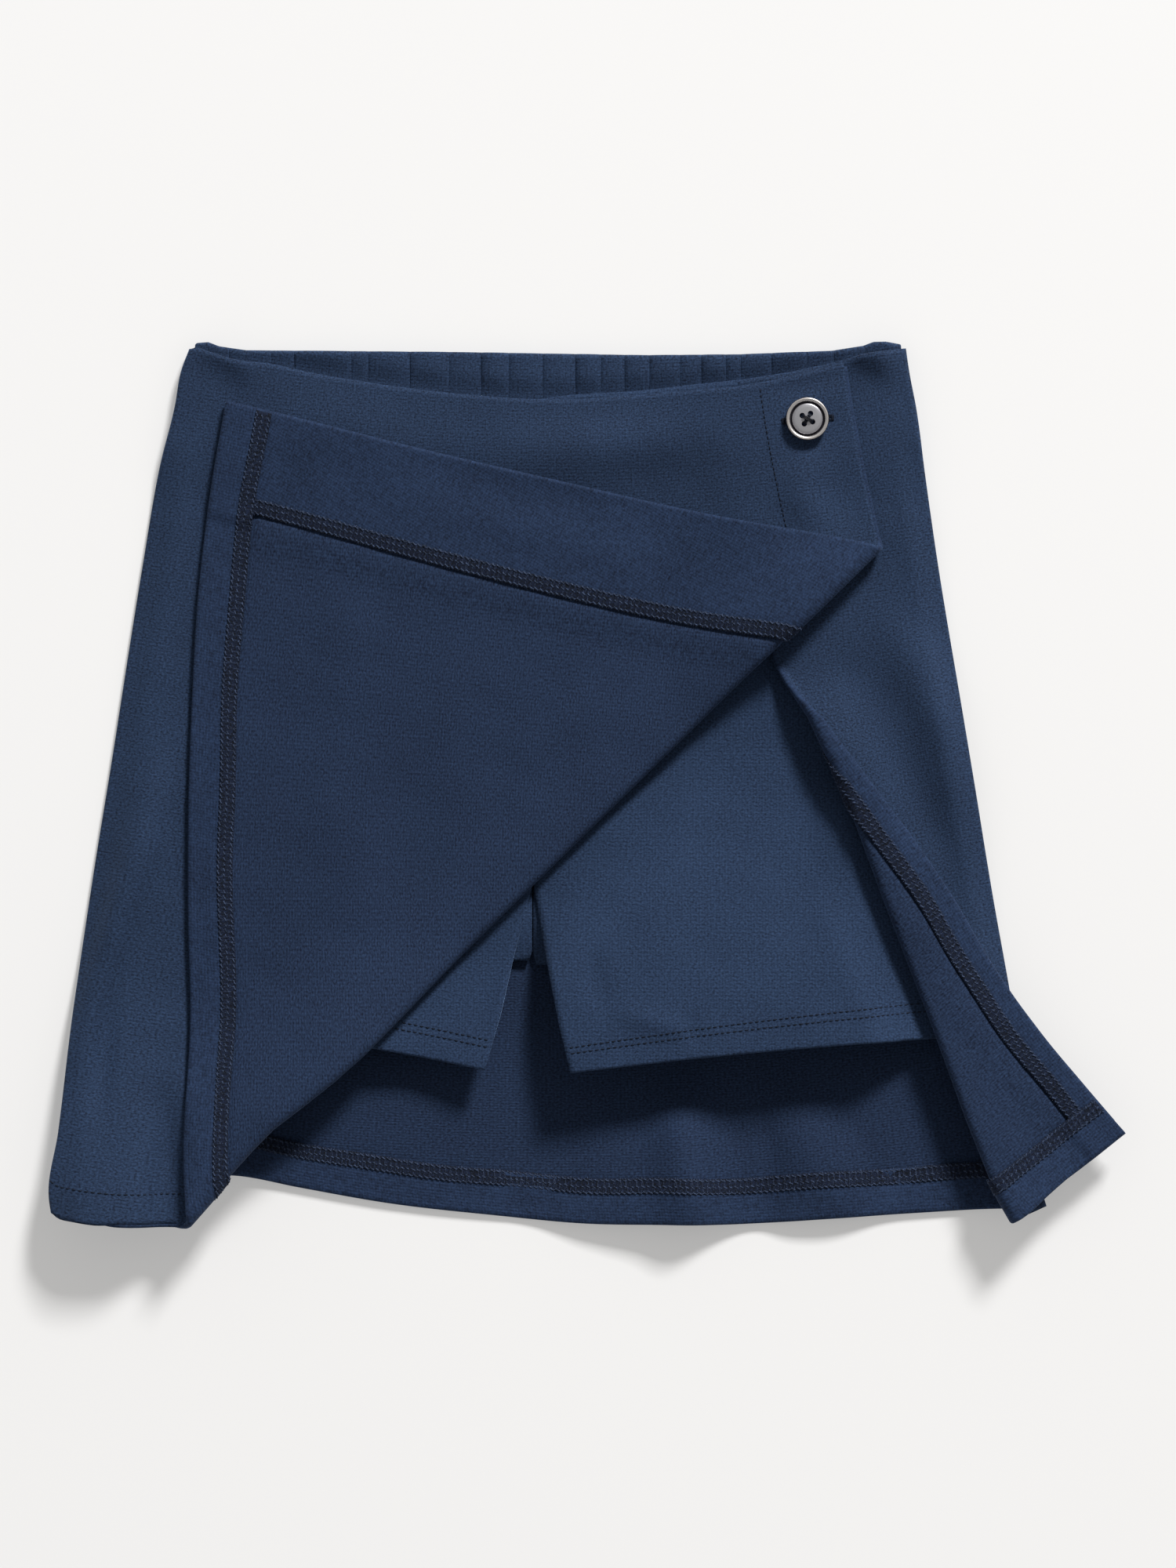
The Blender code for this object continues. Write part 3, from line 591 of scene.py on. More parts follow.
# Sewing thread is coloured near black; part of that darkness is painted shade from the needle holes along a
# row.
sewing_thread = thread_finish("sewing_thread", "#070c16", "#131d30", 0.8)
button_thread = thread_finish("button_thread", "#05070c", "#12161f", 0.5)

# %% [markdown]
# ## Making cloth from its pattern
#
# Each piece starts as a flat grid. Its points are moved to the pattern, cut along the lines where the cloth
# rolls so that the roll is round, and then laid. The thickness could be modelled as a second surface, but a
# Solidify modifier gives it last, so the sheet stays one clean surface until then. The knit's own coordinates
# go with every point as an attribute named pattern: a flared panel's courses bend round a point far above the
# waist, and a turned-back edge shows them mirrored.

# %% Measures and small helpers
CLOTH, JERSEY_CLOTH, PANEL_LENGTH = 1.0, 0.9, 330.0
TURN_RADIUS = 0.8
TURN_IN = TURN_RADIUS + CLOTH / 2
FLARE_CENTRE = np.array([-12.4, 1025.0])
ROLL_STEPS = 8
DETAIL = 1.0


def grain(flat):
    """Where pattern points lie in the knit: along a course, and up the wales, in millimetres."""
    dx, dy = (flat - FLARE_CENTRE).T
    return np.column_stack([np.arctan2(dx, -dy) * 1000.0, -np.hypot(dx, dy)])


def get_rows(data, field):
    """A mesh's points or an attribute's vectors, as rows."""
    rows = np.empty(len(data) * 3, np.float32)
    data.foreach_get(field, rows)
    return rows.reshape(-1, 3).astype(float)


def set_rows(data, field, rows):
    data.foreach_set(field, rows.astype(np.float32).ravel())


def finished(bm, name):
    """A mesh made from a bmesh, which is then let go."""
    mesh = bpy.data.meshes.new(name)
    bm.to_mesh(mesh)
    bm.free()
    return mesh


def add_piece(name, mesh, materials, replaced=()):
    """Put a finished mesh in the scene as a piece that rides on the garment."""
    mesh.shade_smooth()
    for material in materials:
        mesh.materials.append(material)
    piece = bpy.data.objects.new(name, mesh)
    bpy.context.scene.collection.objects.link(piece)
    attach(piece, "root")
    if replaced:
        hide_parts(*replaced)
    return piece


def cut_along_roll(mesh, fold):
    """Cut a flat sheet along lines parallel to a fold."""
    bm = bmesh.new()
    bm.from_mesh(mesh)
    for k in range(ROLL_STEPS + 1):
        spot = fold.start + math.pi * ROLL_RADIUS * k / ROLL_STEPS * fold.normal
        bmesh.ops.bisect_plane(
            bm, geom=bm.verts[:] + bm.edges[:] + bm.faces[:], dist=0.02,
            plane_co=(*spot, 0.0), plane_no=(*fold.normal, 0.0),
        )
    bmesh.ops.triangulate(bm, faces=[face for face in bm.faces if len(face.verts) > 4])
    bm.to_mesh(mesh)
    bm.free()


print("cloth in mm:", CLOTH, JERSEY_CLOTH, "detail:", DETAIL)

# %% The cloth builder


def cloth(name, cells, pattern, lay, faces, replaced=(), fold=None, thickness=CLOTH):
    """A sheet of cloth. pattern gives flat points, knit coordinates and offsets at fractions across, down."""
    across, down = (max(2, round(count * DETAIL)) for count in cells)
    bm = bmesh.new()
    bmesh.ops.create_grid(bm, x_segments=across, y_segments=down, size=0.5)
    mesh = finished(bm, name)
    grid = get_rows(mesh.vertices, "co")
    flat, weave, offset = pattern(grid[:, 0] + 0.5, 0.5 - grid[:, 1])
    knit_place = mesh.attributes.new("pattern", "FLOAT_VECTOR", "POINT")
    set_rows(knit_place.data, "vector", np.column_stack([weave, offset * np.ones(len(weave))]))
    set_rows(mesh.vertices, "co", np.column_stack([flat, np.zeros(len(flat))]))
    mesh.update()
    if fold is not None:
        cut_along_roll(mesh, fold)
    offset = get_rows(mesh.attributes["pattern"].data, "vector")[:, 2]
    set_rows(mesh.vertices, "co", lay(get_rows(mesh.vertices, "co")[:, :2], offset) * MM)
    mesh.update()
    piece = add_piece(name, mesh, faces, replaced)
    wall = piece.modifiers.new("cloth thickness", "SOLIDIFY")
    wall.thickness, wall.offset = thickness * MM, 0.0
    wall.material_offset = wall.material_offset_rim = 1
    print(f"{name}: {len(mesh.vertices)} points, {thickness} mm cloth")
    return piece


# %% [markdown]
# ## Turned edges
#
# A hem or a facing is the panel's own edge folded to the inside. Seen from the inside it's a band that shows
# the right side of the knit, and at the garment's edge it rolls round into the panel. It could be part of the
# panel's own grid, but then the grid would have to be as fine everywhere as the edge needs. So each band is a
# strip that lies just behind the panel and ends in a half circle that meets the panel's edge.

# %% Bands
STRIP_OFFSET, TURN_SHARE, TUCK_LENGTH, SINK_LENGTH = -1.6, 0.35, 12.0, 8.0
BAND_TOP = STRIP_OFFSET - CLOTH / 2
WITHIN = 0.03


def edge_sink(depth, width):
    """How far a band settles on the panel towards its cut edge."""
    return 0.5 * ease((depth - width + SINK_LENGTH) / SINK_LENGTH)


@dataclass
class Band:
    """A panel's edge, turned to the inside. Its measures are in millimetres and degrees."""

    name: str
    place: object  # the panel's pattern
    side: str  # the panel's edge that is turned
    edge: Edge
    run: tuple  # where the band starts and ends along the edge
    width: float
    lay: object  # how the panel lies
    fold: Fold = None
    cells: tuple = (260, 20)
    faces: tuple = (knit_wrong, knit_pressed)
    bow: float = 0.0  # how much wider it is in the middle
    turn: float = 0.0  # which way the knit runs
    climb: object = lambda distance: 0.0 * distance  # how much further out it lies, where a band is under it
    tuck: float = 0.0  # how far its start is drawn inwards
    piece: object = None

    def width_at(self, distance):
        return self.width + self.bow * np.sin(math.pi * distance / self.edge.length) ** 2

    def point(self, distance, depth):
        """Flat points at distances along the edge and depths into the panel."""
        share = distance / self.edge.length
        near, far = (
            self.place(
                *{"bottom": (share, 1 - step), "right": (1 - step, share), "left": (step, share)}[self.side]
            )
            for step in (0.0 * share, 0.0 * share + WITHIN)
        )
        inward = (far - near) / np.linalg.norm(far - near, axis=1)[:, None]
        return near + inward * (depth * np.ones_like(distance))[:, None]

    def pattern(self, across, down):
        along, over = {"bottom": (across, down), "right": (down, across), "left": (down, 1 - across)}[self.side]
        distance = self.run[0] + (self.run[1] - self.run[0]) * along
        width = self.width_at(distance)
        level = np.clip(over / (1 - TURN_SHARE), 0, 1)
        angle = math.pi * np.clip((over - 1 + TURN_SHARE) / TURN_SHARE, 0, 1)
        depth = width + (TURN_IN - width) * level - TURN_RADIUS * np.sin(angle)
        depth = depth + self.tuck * (1 - ease((distance - self.run[0]) / TUCK_LENGTH))
        offset = STRIP_OFFSET / 2 * (1 + np.cos(angle)) * (1 - self.climb(distance) / STRIP_OFFSET)
        cos, sin = math.cos(math.radians(self.turn)), math.sin(math.radians(self.turn))
        weave = np.column_stack([distance * cos + depth * sin, depth * cos - distance * sin])
        return self.point(distance, depth), weave, offset + edge_sink(depth, width)

    def make(self):
        self.piece = cloth(
            "skirt_" + self.name, self.cells, self.pattern, self.lay, self.faces,
            [self.name], self.fold,
        )


print("turned edges take", round(TURN_IN, 2), "mm of the panel")

# %% [markdown]
# ## Front panels
#
# At its side seam a front panel rolls down to the back panel. Where the facing of a folded corner presses on
# it, the cloth beside the facing's cut edge stands up a little, which draws a thin dark line along the
# overlocked thread. Both are offsets of the sheet, worked out from where a point lies in the pattern.

# %% A front panel's pattern
ROLL_SHARE, SQUARE_CORNER, SQUARE_SLOPE = 0.04, 14.0, 12.0
BESIDE_RISE, FACING_TOP, FACING_LEAN = 0.9, 161.0, 0.98
BESIDE_START, BESIDE_SLOPE, BESIDE_END, BESIDE_FADE, BESIDE_FOLD = 0.5, 2.5, 16.0, 12.0, 10.0


def beside(facing, hem, flat):
    """How far a panel rises beside the cut edge of the facing that presses on its folded corner."""
    x, y = flat.T
    past = FACING_LEAN * np.abs(facing.edge.x_at(y) - x) - facing.width_at(FACING_TOP - y)
    clear_of_hem = ease((y - np.interp(x, *hem.edge.xy.T) - HEM_WIDTH + BESIDE_START) / BESIDE_SLOPE)
    rise = BESIDE_RISE * ease((past + BESIDE_START) / BESIDE_SLOPE) * ease((BESIDE_END - past) / BESIDE_FADE)
    return rise * clear_of_hem * ease(facing.fold.past(flat) / BESIDE_FOLD)


def front_panel(place, side, width, facing, hem):
    """A front panel's pattern, drawn in where its edges are turned. It rolls down at its side seam."""
    turn_in, radius = TURN_IN / width, TURN_RADIUS / width

    def pattern(across, down):
        out = across if side == "left" else 1 - across
        inside = np.clip((out - ROLL_SHARE) / (1 - ROLL_SHARE), 0, 1)
        angle = math.pi * np.clip(1 - out / ROLL_SHARE, 0, 1)
        share = turn_in - radius * np.sin(angle) + (1 - 2 * turn_in) * inside
        hem_turned = ease((share * width - SQUARE_CORNER) / SQUARE_SLOPE) if side == "left" else 1.0
        flat = place(share if side == "left" else 1 - share, down * (1 - TURN_IN / PANEL_LENGTH * hem_turned))
        rise = SIDE_SEAM_HEIGHT - BACK_HEIGHT + WAIST_SIDE_STEP * waist_rise(flat[:, 1])
        return flat, grain(flat), -rise / 2 * (1 - np.cos(angle)) - beside(facing, hem, flat)

    return pattern


print("side seams roll over the outer", ROLL_SHARE, "of a front panel")

# %% [markdown]
# ## The back panel and its hem
#
# The back panel lies on the table with its wrong side up. Only its lower edge shows, under the shorts, so a
# plain sheet and one turned band make it.

# %% Back panel and hem


def back_sheet(across, down):
    inset = TURN_IN / PANEL_LENGTH
    flat = back_pattern(inset + (1 - 2 * inset) * across, inset + (1 - 2 * inset) * down)
    return flat, grain(flat), 0.0


back_panel = cloth(
    "skirt_back_panel", (150, 110), back_sheet, back_lay, (knit_wrong, knit_right), ["back_panel"]
)
# The band's turned side faces up, so its offsets are mirrored.
back_hem = Band(
    "back_hem", back_pattern, "bottom", BACK_HEM_EDGE, (11.4, 374.0), HEM_WIDTH,
    lambda flat, offset: back_lay(flat, -offset), faces=(knit_pressed, knit_wrong),
)
back_hem.make()

# %% [markdown]
# ## The gathered waistband
#
# The waistband is a casing with elastic inside, so its cloth swells between creases. A cloth simulation could
# gather it, but would place the creases where it likes. Here their places come from the photograph, and a
# power of a sine gives round swells with sharp valleys between them.

# %% Waistband
GATHER_CREASES = (
    -149.0, -136.4, -120.2, -111.4, -89.6, -83.1, -67.2, -52.5, -39.8, -29.6, -16.5, -3.8, 5.5, 14.9, 24.2,
    35.8, 44.3, 53.3, 59.1, 71.0, 84.0, 95.0, 106.7, 120.0,
)
GATHER_ORDER = range(len(GATHER_CREASES))
CASING_DROP, GATHER_SWELL, FREE_SWELL, FULLNESS = 31.0, 1.0, 2.1, 0.26
CREASE_CROWDING, CASING_ROLL, CASING_AIR, FREE_SLOPE = 0.62, 0.2, 0.3, 9.0
BACK_WAIST_LINE, FRONT_WAIST_LINE = np.array(BACK_WAIST), np.array(OVER_WAIST + UNDER_WAIST[2:])


def gathered_band(across, down):
    """The casing's outer cloth, with more points near its creases. Its top rolls down to the back panel."""
    crease = across * (len(GATHER_CREASES) - 1)
    crease = crease - CREASE_CROWDING * np.sin(math.tau * crease) / math.tau
    x = np.interp(crease, GATHER_ORDER, GATHER_CREASES)
    angle = math.pi * np.clip(1 - down / CASING_ROLL, 0, 1)
    level = np.clip((down - CASING_ROLL) / (1 - CASING_ROLL), 0, 1)
    depth = TURN_IN - TURN_RADIUS * np.sin(angle) + (CASING_DROP - TURN_IN) * level
    flat = np.column_stack([x, np.interp(x, *BACK_WAIST_LINE.T) - depth])
    return flat, grain(flat), (1 - np.cos(angle)) / 2


def gather_swell(x, y):
    """How far the cloth swells between its creases: more where the front's edge doesn't press on it."""
    crease = np.interp(x, GATHER_CREASES, GATHER_ORDER)
    free = ease((y - np.interp(x, *FRONT_WAIST_LINE.T) - 0.5) / FREE_SLOPE)
    uneven = 0.82 + 0.18 * np.sin(2.4 * np.floor(crease) + 0.6)
    return (GATHER_SWELL + FREE_SWELL * free) * uneven * np.sin(math.pi * (crease % 1.0)) ** FULLNESS


def waistband_lay(flat, offset):
    """offset runs from 0 on the outside to 1 where the cloth meets the back panel."""
    outside = CASING_HEIGHT + CASING_AIR + gather_swell(*flat.T)
    return np.column_stack([flat, (1 - offset) * outside + offset * BACK_HEIGHT])


waistband = cloth(
    "gathered_waistband", (560, 32), gathered_band, waistband_lay, (knit_right, knit_wrong),
    ["back_waistband"],
)

# %% [markdown]
# ## The shorts
#
# Four pieces of jersey: two backs, and two fronts on them. They meet at the centre seam down to the crotch,
# and below it the legs part. Tubes would be closer to how shorts are worn, but laid flat they are sheets, so
# each is a patch between its own four edges, as the skirt's panels are. The hems of the fronts are turned
# under, and stand off the back where no skirt panel lies on them.

# %% Outlines of the shorts: the waist and hem as (x, y), the sides as (fraction down the leg, x, y)
LEGS = {
    "shorts_back_left": (
        ((-147.0, 131.5), (-20.4, 131.5)),
        ((-170.0, -84.0), (-110.0, -92.0), (-41.0, -104.0)),
        ((0.0, -147.0, 131.5), (0.5, -160.0, 40.0), (1.0, -170.0, -84.0)),
        ((0.0, -20.4, 131.5), (0.8125, -20.6, -67.8), (0.875, -29.0, -67.4), (0.94, -35.0, -88.0),
         (1.0, -41.0, -104.0)),
    ),
    "shorts_back_right": (
        ((-20.0, 131.5), (113.5, 131.5)),
        ((-3.4, -104.0), (60.0, -98.0), (141.0, -93.0)),
        ((0.0, -20.0, 131.5), (0.8125, -20.1, -69.0), (0.875, -12.2, -69.4), (0.94, -8.0, -90.0),
         (1.0, -3.4, -104.0)),
        ((0.0, 113.5, 131.5), (0.5, 128.0, 40.0), (1.0, 141.0, -93.0)),
    ),
    "shorts_front_left": (
        ((-141.0, 160.2), (-120.8, 158.6), (-83.7, 151.6), (-56.3, 148.0), (-20.2, 145.2)),
        ((-172.0, -86.0), (-120.0, -95.0), (-80.3, -101.0), (-38.5, -109.0)),
        ((0.0, -141.0, 160.2), (0.13, -147.0, 126.0), (0.5, -160.0, 40.0), (1.0, -172.0, -86.0)),
        ((0.0, -20.2, 145.2), (0.3, -20.2, 70.0), (0.7, -20.5, -39.0), (0.8125, -27.8, -66.8),
         (0.9, -32.6, -88.0), (1.0, -38.5, -109.0)),
    ),
    "shorts_front_right": (
        ((-19.6, 146.6), (-6.0, 148.4), (19.7, 150.0), (39.5, 152.2), (61.4, 154.6), (85.0, 157.4),
         (110.0, 161.0)),
        ((-5.9, -109.7), (45.8, -103.9), (105.8, -98.8), (143.0, -96.8)),
        ((0.0, -19.6, 146.8), (0.3, -19.7, 70.0), (0.7, -19.9, -39.0), (0.8125, -14.6, -69.0),
         (0.9, -10.2, -92.0), (1.0, -5.9, -109.7)),
        ((0.0, 110.0, 160.5), (0.13, 114.0, 126.0), (0.5, 128.0, 40.0), (1.0, 143.0, -96.8)),
    ),
}
print("leg pieces:", ", ".join(LEGS))

# %% How the legs lie
LEFT_LEG_LIFT, LEG_LIFT, LEG_TOP, LEG_REACH = 10.0, 18.0, 30.0, 138.0
LEFT_CLEAR, LEFT_SLOPE, RIGHT_CLEAR, RIGHT_SLOPE = 5.0, 34.0, 2.0, 22.0
UNDER_FOLD_SHARE, UNDER_FOLD_TOP = 0.92, 14.0
LEGS_PART, LEGS_PART_RUN = -38.0, 30.0
CROTCH, CROTCH_REACH, CROTCH_LIFT = (-20.0, -52.0), (22.0, 16.0), 3.4


def leg_lift(x, y):
    """How far the open end of a leg stands up, clear of the folded edges beside it."""
    flat = np.column_stack([x, y])
    left = ease((over_fold.past(flat) - LEFT_CLEAR) / LEFT_SLOPE)
    right = ease((under_fold.past(flat) - RIGHT_CLEAR) / RIGHT_SLOPE)
    free = left * right
    height = LEFT_LEG_LIFT + (LEG_LIFT - LEFT_LEG_LIFT) * ease((x - LEGS_PART) / LEGS_PART_RUN)
    folds = np.maximum(over_rise(flat), under_rise(y) * beside_fold(under_fold, flat))
    below = UNDER_FOLD_SHARE * folds * ease((UNDER_FOLD_TOP - y) / UNDER_RISE_REACH)
    return free * height * ease((LEG_TOP - y) / LEG_REACH) + (1 - free) * below


def front_leg_height(x, y):
    return SHORTS_FRONT_HEIGHT + WAIST_STEP * waist_rise(y) + leg_lift(x, y)


def back_leg_height(x, y):
    """The backs stand off the skirt at the crotch, where four seams meet."""
    across, up = (x - CROTCH[0]) / CROTCH_REACH[0], (y - CROTCH[1]) / CROTCH_REACH[1]
    return ON_BACK_HEIGHT + CROTCH_LIFT * np.exp(-(across**2) - up**2)


back_leg_lay = with_creases(level_lay(back_leg_height), ())
front_leg_lay = with_creases(level_lay(front_leg_height), LEG_CREASES)
print("leg hems stand up by", LEFT_LEG_LIFT, "and", LEG_LIFT, "mm")

# %% Legs
LEG_HEM_SHARE, LEG_HEM_RADIUS, LEG_LENGTH = 0.1, 0.55, 250.0


class LegSide(Edge):
    """A leg's side, whose table gives the share with each point."""

    def __init__(self, rows):
        rows = np.array(rows)
        self.share, self.xy = rows[:, 0], rows[:, 1:]


def leg_pattern(place, hem_turned):
    """A leg's pattern. A turned hem rolls under and ends inside."""
    hem_share, radius = (LEG_HEM_SHARE, LEG_HEM_RADIUS) if hem_turned else (0.0, 0.0)

    def pattern(across, down):
        level = np.clip(down / (1 - hem_share), 0, 1)
        angle = math.pi * np.clip((down - 1 + hem_share) / max(hem_share, 0.01), 0, 1)
        flat = place(across, level * (1 - 1 / LEG_LENGTH) + radius / LEG_LENGTH * np.sin(angle))
        return flat, flat, -radius * (1 - np.cos(angle))

    return pattern


leg_places, legs = {}, {}
for name, (waist, hem, left, right) in LEGS.items():
    in_front = "front" in name
    leg_places[name] = patch(Edge(waist), Edge(hem), LegSide(left), LegSide(right))
    legs[name] = cloth(
        name + "_cloth", (64, 130) if in_front else (24, 40), leg_pattern(leg_places[name], in_front),
        front_leg_lay if in_front else back_leg_lay, (jersey, jersey), [name],
        thickness=JERSEY_CLOTH,
    )

# %% [markdown]
# ## The under panel
#
# It's narrow, sewn into the right side seam, and its free lower corner is flipped outwards over a soft roll.
# At that corner its hem lies on its facing, and so climbs by a layer of cloth.

# %% Under panel, facing and hem
CLIMB, CLIMB_SLOPE = 1.2, 6.0
under_facing = Band(
    "under_facing", under_pattern, "left", UNDER_EDGE, (6.6, 326.0), UNDER_FACING_WIDTH, under_lie, under_fold,
    cells=(18, 190), turn=90.0,
)
under_hem = Band(
    "under_hem", under_pattern, "bottom", UNDER_HEM_EDGE, (0.2, 58.5), HEM_WIDTH, under_lie, under_fold,
    cells=(60, 20), climb=lambda distance: CLIMB * ease((UNDER_FACING_WIDTH + 7.0 - distance) / CLIMB_SLOPE),
)
under_panel = cloth(
    "skirt_under_panel", (70, 190), front_panel(under_pattern, "right", 70.0, under_facing, under_hem),
    under_lie, (knit_right, knit_wrong), ["under_panel"], under_fold,
)
under_facing.make()
under_hem.make()

# %% [markdown]
# ## The over panel
#
# The widest piece: it's sewn into the left side seam and crosses the front. Below the button its corner is
# folded back over itself, so its wrong side, its wide facing and its hem lie on top. The facing bows: it's a
# little wider in the middle than at its ends.

# %% Over panel, facing and hem
OVER_HEM_LENGTH = OVER_HEM_EDGE.length
over_facing = Band(
    "over_facing", over_pattern, "right", OVER_EDGE, (1.6, OVER_EDGE.length - 3.5), OVER_FACING_WIDTH, over_lie,
    over_fold, cells=(44, 225), bow=OVER_FACING_BOW, turn=73.2,
)
over_hem = Band(
    "over_hem", over_pattern, "bottom", OVER_HEM_EDGE, (14.7, OVER_HEM_LENGTH - 0.2), HEM_WIDTH, over_lie,
    over_fold, tuck=1.2,
    climb=lambda distance: CLIMB * ease((distance - OVER_HEM_LENGTH + OVER_FACING_WIDTH + 8.0) / CLIMB_SLOPE),
)
over_panel = cloth(
    "skirt_over_panel", (205, 175), front_panel(over_pattern, "left", 310.0, over_facing, over_hem),
    over_lie, (knit_right, knit_wrong), ["over_panel"], over_fold,
)
over_facing.make()
over_hem.make()

# %% [markdown]
# ## Overlocked edges
#
# Every cut edge inside is overlocked: loops of thread cross the edge and interlock in rows. A picture of them
# would look flat from the side, so they are real threads: each is a path across the band, bent as a loop bends,
# with a thin grid wrapped round it. Under them lies a low ribbon that stands for the mat of thread filling the
# gaps; its near-black colour is painted shade between the loops.

# %% Thread builder
THREAD_SIDES = 4
UP = np.array([0.0, 0.0, 1.0])


def unit(vectors):
    return vectors / np.maximum(np.linalg.norm(vectors, axis=1), 1e-9)[:, None]


def add_thread(bm, path, up, radius):
    """Wrap a grid round a path of points in millimetres, and add it to a bmesh."""
    strand = bmesh.new()
    bmesh.ops.create_grid(strand, x_segments=len(path) - 1, y_segments=THREAD_SIDES, size=0.5)
    spots = np.array([vert.co[:2] for vert in strand.verts])
    step = np.rint((spots[:, 0] + 0.5) * (len(path) - 1)).astype(int)
    angle = math.tau * (spots[:, 1] + 0.5)
    way = unit(np.gradient(path, axis=0))
    side = unit(np.cross(way, up))
    above = np.cross(side, way)
    ring = side[step] * np.cos(angle)[:, None] + above[step] * np.sin(angle)[:, None]
    for vert, point in zip(strand.verts, ((path[step] + radius * ring) * MM).tolist()):
        vert.co = point
    bmesh.ops.remove_doubles(strand, verts=strand.verts, dist=1e-7)
    bmesh.ops.holes_fill(strand, edges=[edge for edge in strand.edges if edge.is_boundary])
    bmesh.ops.recalc_face_normals(strand, faces=strand.faces)
    mesh = finished(strand, "strand")
    bm.from_mesh(mesh)
    bpy.data.meshes.remove(mesh)


def thread_piece(name, strands, material):
    """One piece made of many threads: (path, up, radius) each."""
    bm = bmesh.new()
    for path, up, radius in strands:
        add_thread(bm, path, up, radius)
    piece = add_piece(name, finished(bm, name), [material])
    print(f"{name}: {len(strands)} threads, {len(piece.data.polygons)} faces")
    return piece


# %% Overlock stitch
STITCH_WIDTH, STITCH_PITCH, LOOP_POINTS, CHAIN_RADIUS = 5.9, 2.1, 12, 0.29
# Threads that cross the edge: (where in a stitch it starts, how far it leans, radius).
LOOPERS = ((0.0, 0.34, 0.29), (0.5, 0.1, 0.15))
# Threads that run along it: (distance in from the cut edge, where in a stitch it starts).
CHAINS = ((0.4, 0.0), (STITCH_WIDTH - 0.7, 0.4), (STITCH_WIDTH * 0.5, 0.7))


def on_band(band, width, distance, inset, height):
    """Points at insets from a band's cut edge and heights above it, and the direction away from the cloth."""
    depth = width - inset
    flat = band.point(distance, depth)
    offset = BAND_TOP - band.climb(distance) + edge_sink(depth, width) - height
    place = band.lay(flat, offset)
    return place, unit(place - band.lay(flat, offset + 0.5))


def overlock(band, run, width):
    """Overlock a band's cut edge, on its visible side. width is a function of the distance along the edge."""
    count = int((run[1] - run[0]) / STITCH_PITCH)
    turn = np.linspace(0.0, count, count * LOOP_POINTS + 1)
    # No two stitches are pulled equally tight.
    uneven = 0.1 * np.sin(1.9 * turn) + 0.08 * np.sin(4.3 * turn + 1.0)
    strands = []
    for start, lean, radius in LOOPERS:
        swing = np.abs(((turn + start) % 1.0) * 2.0 - 1.0)
        going = np.sign(((turn + start) % 1.0) - 0.5)
        sway = going * (0.14 * np.sin(math.tau * swing) - lean * (1 - swing))
        distance = run[0] + STITCH_PITCH * (turn + uneven + sway)
        inset, height = STITCH_WIDTH * swing - 0.35 - 2.0 * uneven, 0.05 + 0.14 * np.sin(math.pi * swing)
        strands.append((*on_band(band, width(distance), distance, inset, height), radius))
    for start_inset, start in CHAINS:
        angle = math.tau * (turn + start)
        distance = run[0] + STITCH_PITCH * (turn - 0.16 * np.sin(2.0 * angle))
        inset, height = start_inset - 0.45 * np.cos(angle), 0.25 + 0.16 * np.sin(angle)
        strands.append((*on_band(band, width(distance), distance, inset, height), CHAIN_RADIUS))
    return thread_piece(band.name + "_overlock", strands, overlock_thread)


def overlock_bed(band, run, width):
    """The mat of thread under the loops: a low rounded ribbon, near black as painted shade between them."""

    def pattern(across, down):
        distance = run[0] + (run[1] - run[0]) * across
        depth = width(distance) + 0.4 - (STITCH_WIDTH + 0.1) * down
        offset = BAND_TOP - band.climb(distance) - 0.05 - 0.25 * np.sin(math.pi * down) ** 0.5
        offset += edge_sink(depth, width(distance))
        return band.point(distance, depth), np.column_stack([distance, depth]), offset

    return cloth(
        band.name + "_overlock_bed", (round((run[1] - run[0]) / 1.4), 6), pattern, band.lay,
        (overlock_shade_mat, overlock_shade_mat), fold=band.fold, thickness=0.25,
    )


# %% Overlocking every cut edge
# The knife that trims an edge never runs quite straight: (band, run, the wave's height, its length).
OVERLOCKED = (
    (back_hem, (13.0, 373.0), 0.3, 9.0), (under_facing, (8.0, 316.0), 0.25, 7.0),
    (under_hem, (1.0, 58.0), 0.3, 8.0), (over_facing, (2.0, 311.5), 0.0, 1.0),
    (over_hem, (16.0, OVER_HEM_LENGTH - 1.0), 0.35, 11.0),
)
for band, run, wave, wave_length in OVERLOCKED:
    def trimmed(distance):
        return band.width_at(distance) + wave * np.sin(distance / wave_length)

    overlock_bed(band, run, trimmed)
    overlock(band, run, trimmed)

# %% [markdown]
# ## Topstitching
#
# Lockstitch shows as a row of short dashes. Its thread is one, and dips into the cloth at each needle hole.
# Separate dashes would be simpler, but a single thread whose height follows a sine casts the right shadows.

# %% Rows of lockstitch
STITCH_RADIUS, STITCH_LIFT, STITCH_SINK, POINTS_A_STITCH = 0.24, 0.8, 0.6, 8
TWIN_ROWS = (0.948, 0.96)  # the two rows of a twin needle, as fractions down the leg


def lockstitch(path, up, pitch):
    """A thread along a path that dips at every needle hole."""
    length = np.concatenate([[0.0], np.cumsum(np.linalg.norm(np.diff(path, axis=0), axis=1))])
    spots = np.linspace(0.0, length[-1], max(int(length[-1] / pitch), 1) * POINTS_A_STITCH + 1)
    way = unit(read(spots, length, up))
    lift = STITCH_LIFT * np.abs(np.sin(math.pi * spots / pitch)) - STITCH_SINK
    return read(spots, length, path) + way * lift[:, None], way, STITCH_RADIUS


def edge_row(band, run, depth, pitch):
    """A row on the right side of a panel, along the edge that is turned as a band."""
    distance = np.linspace(*run, max(int((run[1] - run[0]) / 0.8), 2))
    flat = band.point(distance, depth)
    path = band.lay(flat, CLOTH / 2)
    return lockstitch(path, unit(path - band.lay(flat, CLOTH / 4)), pitch)


